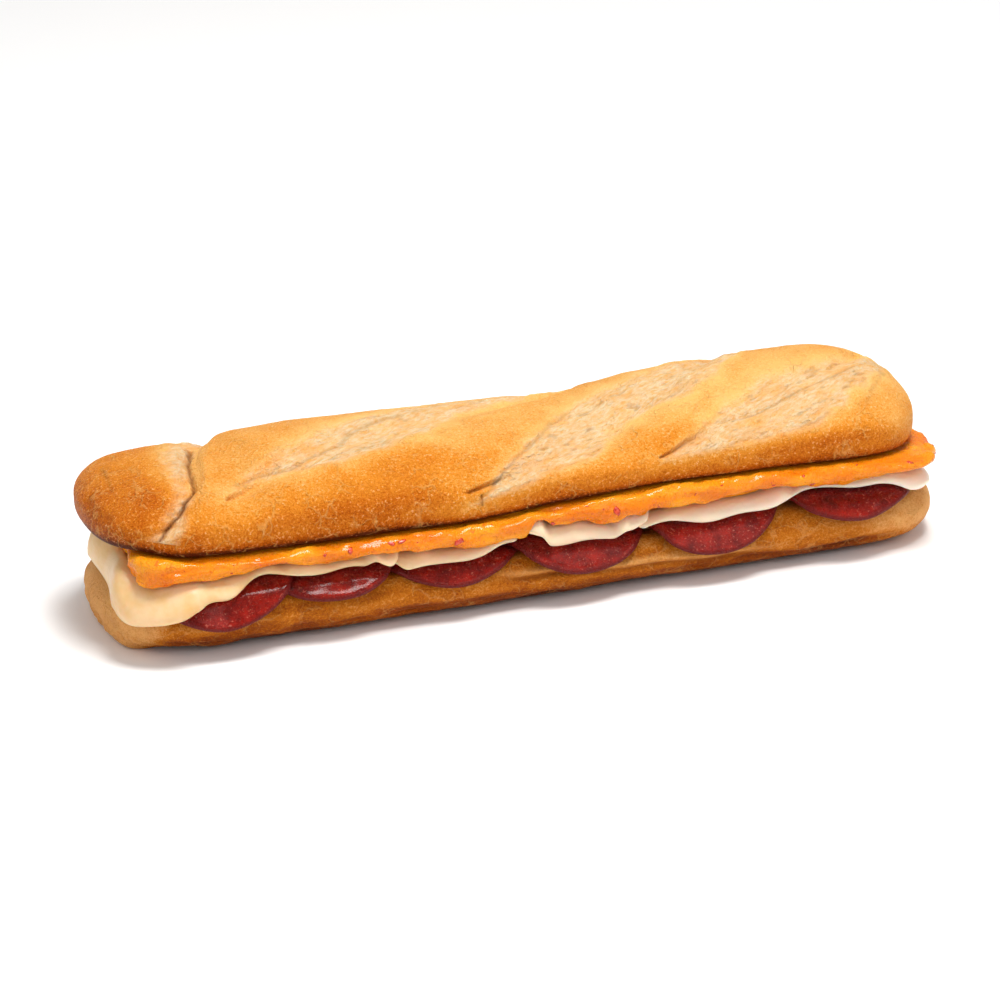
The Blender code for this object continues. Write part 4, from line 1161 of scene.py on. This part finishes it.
# %% Oven crust group
crust, given, gives = group(
    "Oven crust",
    (
        ("Bake", "Float", 0.4), ("Torn", "Float", 0.0), ("Crevice_shade", "Float", 0.0), ("Crumb", "Float", 0.0),
        ("Pale", "Color", colour(246, 190, 108)), ("Gold", "Color", colour(227, 140, 38)),
        ("Brown", "Color", colour(188, 90, 1)), ("Dark", "Color", colour(82, 28, 1)),
        ("Flour", "Color", colour(255, 226, 182)), ("Speckle", "Float", 0.5),
    ),
    (("Color", "Color"), ("Roughness", "Float"), ("Height", "Float")),
)

# %% Crust colours by baking and painted light
place = place_on(crust)
patches = ranged(crust, noise(crust, place, 9.0, 4.0), 0.25, 0.75, -0.06, 0.06)
grain = noise(crust, place, 0.9, 3.0, 0.6)
fine = noise(crust, place, 0.45, 2.0, 0.6)
bake = maths(crust, "ADD", given["Bake"], patches)
bake = maths(crust, "ADD", bake, ranged(crust, grain, 0.3, 0.7, 0.13, -0.13))
bake = maths(crust, "ADD", bake, ranged(crust, fine, 0.3, 0.7, 0.07, -0.07))
baked = mix(crust, ranged(crust, bake, 0.02, 0.40), given["Pale"], given["Gold"])
baked = mix(crust, ranged(crust, bake, 0.40, 0.72), baked, given["Brown"])
baked = mix(crust, ranged(crust, bake, 0.72, 1.05), baked, given["Dark"])
spots = ranged(crust, grain, 0.60, 0.72)
spots = maths(crust, "MULTIPLY", spots, given["Speckle"])
baked = mix(crust, spots, baked, given["Flour"])

# %% Net of pale lines
# The thin outer skin cracks here and there into a net, drawn by the borders of bent cells
bend = add(crust, "ShaderNodeTexNoise", {"Vector": place, "Scale": 250.0, "Detail": 2.0}).outputs["Color"]
bend = add(crust, "ShaderNodeVectorMath", {0: bend, "Scale": 0.006}, operation="SCALE").outputs[0]
bent = add(crust, "ShaderNodeVectorMath", {0: place, 1: bend}, operation="ADD").outputs[0]
net = {"Vector": bent, "Scale": 150.0}
net = add(crust, "ShaderNodeTexVoronoi", net, feature="DISTANCE_TO_EDGE").outputs["Distance"]
lines = ranged(crust, net, 0.0, 0.07, 1.0, 0.0)
net = maths(crust, "MULTIPLY", lines, ranged(crust, patches, -0.005, 0.015))
baked = mix(crust, maths(crust, "MULTIPLY", net, 0.35), baked, given["Pale"])

# %% Torn dough and crumb
# Fibres of torn dough run along the scores, about 30 degrees to the roll
turned = {"Vector": place, "Rotation": (0.0, 0.0, 0.52), "Scale": (2.6, 1.0, 1.0)}
fibres = add(crust, "ShaderNodeMapping", turned, vector_type="TEXTURE").outputs[0]
rough = noise(crust, fibres, 1.2, 5.0, 0.68)
floury = mix(crust, ranged(crust, rough, 0.34, 0.62), colour(246, 186, 108), given["Flour"])
toasted = ranged(crust, noise(crust, place, 11.0, 2.0), 0.45, 0.75, 0.0, 0.25)
floury = mix(crust, toasted, floury, given["Gold"])
shade = mix(crust, given["Torn"], baked, floury)
crumb_tone = mix(crust, ranged(crust, rough, 0.35, 0.6), colour(214, 170, 112), colour(252, 236, 206))
shade = mix(crust, given["Crumb"], shade, crumb_tone)
# Painted shade: crevices turn dark brown
shade = mix(crust, given["Crevice_shade"], shade, colour(118, 58, 20))
crust.links.new(shade, gives["Color"])

# %% Gloss and relief of the crust
gloss = ranged(crust, bake, 0.1, 0.8, 0.62, 0.42)
crust.links.new(maths(crust, "ADD", gloss, maths(crust, "MULTIPLY", given["Torn"], 0.3)), gives["Roughness"])
skin = maths(crust, "ADD", maths(crust, "MULTIPLY", grain, 0.5), maths(crust, "MULTIPLY", fine, 0.25))
open_dough = maths(crust, "MAXIMUM", given["Torn"], given["Crumb"])
tearing = maths(crust, "MULTIPLY", maths(crust, "MULTIPLY", rough, 1.4), open_dough)
skin = maths(crust, "ADD", skin, maths(crust, "MULTIPLY", net, 0.25))
crust.links.new(maths(crust, "ADD", skin, tearing), gives["Height"])
print(crust.name, len(crust.nodes), "nodes")

# %% [markdown]
# ## From a group to a material
# A material holds the shader itself, and the group only feeds it colours and values. The masks kept on the
# mesh are read here by name, and a height becomes bumps of a real size in millimetres.

# %% Material helpers


def mask(tree, name):
    """A mask that was kept on the mesh."""
    return add(tree, "ShaderNodeAttribute", attribute_name=name).outputs["Fac"]


def material(name, pieces, **fixed):
    """A new material on these pieces, with values that are the same all over set on its shader."""
    made = bpy.data.materials.new(name)
    made.use_nodes = True
    shader = made.node_tree.nodes["Principled BSDF"]
    for socket, value in fixed.items():
        shader.inputs[socket.replace("_", " ")].default_value = value
    for piece in pieces:
        piece.data.materials.clear()
        piece.data.materials.append(made)
    print("material", name, "on", len(pieces), "pieces")
    return made.node_tree, shader


def relief_into(tree, shader, height, distance, strength=1.0):
    """Turns a height into bumps of this many millimetres."""
    bump = add(tree, "ShaderNodeBump", {"Height": height, "Strength": strength, "Distance": distance * MM})
    tree.links.new(bump.outputs["Normal"], shader.inputs["Normal"])


# %% Crust of both halves
# The lower half's tones are deeper, partly from its own baking and partly as painted shade under the filling
LOWER_TONES_WITH_SHADE = {
    "Speckle": 0.12, "Pale": colour(226, 164, 96), "Gold": colour(190, 108, 16),
    "Brown": colour(142, 64, 3), "Dark": colour(78, 28, 1), "Flour": colour(232, 184, 120),
}
CRUST_LIGHT = {"Subsurface_Weight": 0.10, "Subsurface_Scale": 0.002, "Specular_IOR_Level": 0.08}
for name, piece, tones, bump in (
    ("Upper crust", bread_top, {"Speckle": 0.32}, 1.5),
    ("Lower crust", bread_bottom, LOWER_TONES_WITH_SHADE, 1.0),
):
    tree, shader = material(name, [piece], **CRUST_LIGHT)
    effect = add(tree, "ShaderNodeGroup", node_tree=crust)
    for socket, value in tones.items():
        effect.inputs[socket].default_value = value
    for socket in ("Bake", "Torn", "Crevice_shade", "Crumb"):
        tree.links.new(mask(tree, socket.lower()), effect.inputs[socket])
    tree.links.new(effect.outputs["Color"], shader.inputs["Base Color"])
    tree.links.new(effect.outputs["Roughness"], shader.inputs["Roughness"])
    relief_into(tree, shader, effect.outputs["Height"], bump)

# %% [markdown]
# ## Moist surfaces
# Sauce, cheese and salami are all moist, each to its own degree: some spots are wet and mirror the lamp,
# others have dried. One group makes both the uneven gloss and the fine relief under it, at a size that each
# food sets.

# %% Moist surface group
moist, given, gives = group(
    "Moist surface",
    (("Lump Size", "Float", 3.0), ("Wet", "Float", 0.15), ("Dry", "Float", 0.45)),
    (("Roughness", "Float"), ("Height", "Float"), ("Patches", "Float")),
)
place = place_on(moist)
scale = maths(moist, "DIVIDE", 1000.0, given["Lump Size"])
coarse = add(moist, "ShaderNodeTexNoise", {"Vector": place, "Scale": scale, "Detail": 3.0}).outputs[0]
finer = {"Vector": place, "Scale": maths(moist, "MULTIPLY", scale, 4.0), "Detail": 2.0}
finer = add(moist, "ShaderNodeTexNoise", finer).outputs[0]
share = ranged(moist, coarse, 0.35, 0.65)
wide = maths(moist, "SUBTRACT", given["Dry"], given["Wet"])
moist.links.new(maths(moist, "ADD", given["Wet"], maths(moist, "MULTIPLY", share, wide)), gives["Roughness"])
moist.links.new(maths(moist, "ADD", coarse, maths(moist, "MULTIPLY", finer, 0.3)), gives["Height"])
moist.links.new(share, gives["Patches"])


def moisten(tree, shader, size, wet, dry, bump):
    """Gives a material the moist surface, and returns its patches."""
    effect = add(tree, "ShaderNodeGroup", node_tree=moist)
    for socket, value in (("Lump Size", size), ("Wet", wet), ("Dry", dry)):
        effect.inputs[socket].default_value = value
    tree.links.new(effect.outputs["Roughness"], shader.inputs["Roughness"])
    relief_into(tree, shader, effect.outputs["Height"], bump)
    return effect.outputs["Patches"]


# %% [markdown]
# ## Sauce, flecks and cheese
# The sauce is a mayonnaise base with chilli oil, so light sinks in a little and lighter streaks run through
# it. Cheese lets even more light in, which softens its edges. Both get subsurface scattering on the shader.

# %% Sauce finish
tree, shader = material(
    "Chilli sauce", [sauce], Subsurface_Weight=0.25, Subsurface_Scale=0.003, Specular_IOR_Level=0.12,
    Coat_Weight=0.35, Coat_Roughness=0.10,
)
moisten(tree, shader, 2.6, 0.24, 0.42, 1.5)
streak = ranged(tree, mask(tree, "streak"), 0.25, 0.85)
tone = mix(tree, streak, colour(230, 120, 1), colour(244, 153, 18))
place = place_on(tree)
red = ranged(tree, noise(tree, place, 2.2, 3.0), 0.64, 0.72)
tone = mix(tree, maths(tree, "MULTIPLY", red, 0.5), tone, colour(206, 72, 18))
tree.links.new(tone, shader.inputs["Base Color"])

# %% Fleck finish
tree, shader = material("Chilli skin", [chilli_flecks], Coat_Weight=0.5, Coat_Roughness=0.1)
patches = moisten(tree, shader, 1.5, 0.18, 0.35, 0.2)
tree.links.new(mix(tree, patches, colour(176, 24, 4), colour(214, 66, 10)), shader.inputs["Base Color"])

# %% Cheese finish
tree, shader = material(
    "Melted cheese", cheese_pieces, Subsurface_Weight=0.45, Subsurface_Scale=0.006, Specular_IOR_Level=0.3,
    Coat_Weight=0.15, Coat_Roughness=0.3,
)
patches = moisten(tree, shader, 7.0, 0.28, 0.42, 0.5)
place = place_on(tree)
# Painted light and shade: the left slice is darker and yellower, as painted shade, and the right one is
# nearly white, as painted light from the lamp on the right
along_roll = add(tree, "ShaderNodeSeparateXYZ", {0: place}).outputs["X"]
shade_to_light = mix(tree, ranged(tree, along_roll, -0.10, 0.13), colour(224, 183, 124), colour(247, 230, 214))
tone = mix(tree, maths(tree, "MULTIPLY", patches, 0.3), shade_to_light, colour(246, 228, 200))
tree.links.new(tone, shader.inputs["Base Color"])

# %% [markdown]
# ## Salami finish
# Cured sausage is dark red lean meat with many small irregular bits of fat, and a darker skin round the rim.
# The fat is a noise cut off sharply, at two sizes. Melted fat makes the face shine in small points.

# %% Salami finish
tree, shader = material(
    "Cured salami", salami, Subsurface_Weight=0.12, Subsurface_Scale=0.002, Specular_IOR_Level=0.12,
    Coat_Weight=0.26, Coat_Roughness=0.14,
)
moisten(tree, shader, 1.2, 0.22, 0.50, 3.6)
place = place_on(tree)
lean = ranged(tree, noise(tree, place, 5.0, 4.0), 0.3, 0.7)
meat = mix(tree, lean, colour(118, 12, 6), colour(196, 38, 20))
small_fat = ranged(tree, noise(tree, place, 0.9, 3.0, 0.6), 0.60, 0.68)
large_fat = ranged(tree, noise(tree, place, 2.4, 3.0, 0.6), 0.66, 0.72)
fat = maths(tree, "MULTIPLY", maths(tree, "MAXIMUM", small_fat, large_fat), 0.7)
tone = mix(tree, fat, meat, colour(228, 122, 102))
rim = ranged(tree, mask(tree, "to_rim"), 0.945, 0.985)
tone = mix(tree, rim, tone, colour(128, 20, 14))
tree.links.new(tone, shader.inputs["Base Color"])

# %% [markdown]
# ## Floor, light and camera
# The sandwich is shown on a plain white floor. The key lamp hangs almost straight above it, two larger and
# weaker ones fill in from the front right and the front left, and the pale world does the rest, so that the
# shadows are short and soft. The camera is fitted to the photograph by its angles and its scale.

# %% Floor
FLOOR_HALF = 4000.0
corners = [(x * FLOOR_HALF, y * FLOOR_HALF, 0.0) for x, y in ((-1, -1), (1, -1), (1, 1), (-1, 1))]
floor = smooth_object("floor", corners, [(0, 1, 2, 3)], {})
material("Floor", [floor], Base_Color=(0.96, 0.96, 0.96, 1.0), Roughness=0.9)
floor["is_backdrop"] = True

# %% Lamps
WORLD_STRENGTH = 0.42
LAMPS_LOOK_AT = Vector((0, 0, 0.03))
# Each lamp: name, place and size in metres, watts and tint
LAMPS = (
    ("key", (0.12, -0.20, 1.36), 0.50, 18.5, (1.0, 0.98, 0.96)),
    ("side", (0.80, -1.30, 1.10), 1.0, 5.0, (1.0, 0.98, 0.96)),
    ("fill", (-1.0, -0.9, 0.9), 1.2, 4.5, (1.0, 0.99, 0.98)),
)
world = bpy.data.worlds.new("Studio")
scene.world = world
world.use_nodes = True
background = world.node_tree.nodes["Background"].inputs
background["Color"].default_value = (1.0, 1.0, 1.0, 1.0)
background["Strength"].default_value = WORLD_STRENGTH
for name, place, size, watts, tint in LAMPS:
    data = bpy.data.lights.new(name, "AREA")
    data.size, data.energy, data.color = size, watts, tint
    made = bpy.data.objects.new(name, data)
    made.location = place
    made.rotation_euler = (LAMPS_LOOK_AT - Vector(place)).to_track_quat("-Z", "Y").to_euler()
    scene.collection.objects.link(made)
    print(name, "lamp,", watts, "W")

# %% Camera
CAMERA_TURN, CAMERA_HEIGHT, CAMERA_ROLL = 19.0, 22.0, 1.1
CAMERA_DISTANCE, SENSOR, PIXELS = 1800.0, 36.0, 1000
PIXELS_PER_MM = 2.96
AIM, AIM_PIXEL = np.array([0.0, 0.0, 30.0]), (506, 485)
turn, height, roll = np.radians([CAMERA_TURN, CAMERA_HEIGHT, CAMERA_ROLL])
ahead = np.array([np.sin(turn) * np.cos(height), np.cos(turn) * np.cos(height), -np.sin(height)])
level = np.array([np.cos(turn), -np.sin(turn), 0.0])
upright = np.cross(level, ahead)
right = np.cos(roll) * level - np.sin(roll) * upright
up = np.sin(roll) * level + np.cos(roll) * upright
place = AIM - ahead * CAMERA_DISTANCE
place = place - right * (AIM_PIXEL[0] - PIXELS / 2) / PIXELS_PER_MM
place = place - up * (PIXELS / 2 - AIM_PIXEL[1]) / PIXELS_PER_MM
camera = bpy.data.objects.new("camera", bpy.data.cameras.new("camera"))
camera.data.lens = PIXELS_PER_MM * CAMERA_DISTANCE / PIXELS * SENSOR
camera.data.sensor_width = SENSOR
camera.data.clip_end = 20.0
columns = np.column_stack([right, up, -ahead])
camera.matrix_world = Matrix([[*columns[row], place[row] * MM] for row in range(3)] + [[0, 0, 0, 1]])
scene.collection.objects.link(camera)
scene.camera = camera
print("camera", CAMERA_DISTANCE, "mm away, lens", round(camera.data.lens), "mm")

low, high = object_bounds()
print("visual model", [round(b - a, 4) for a, b in zip(low, high)], "m")
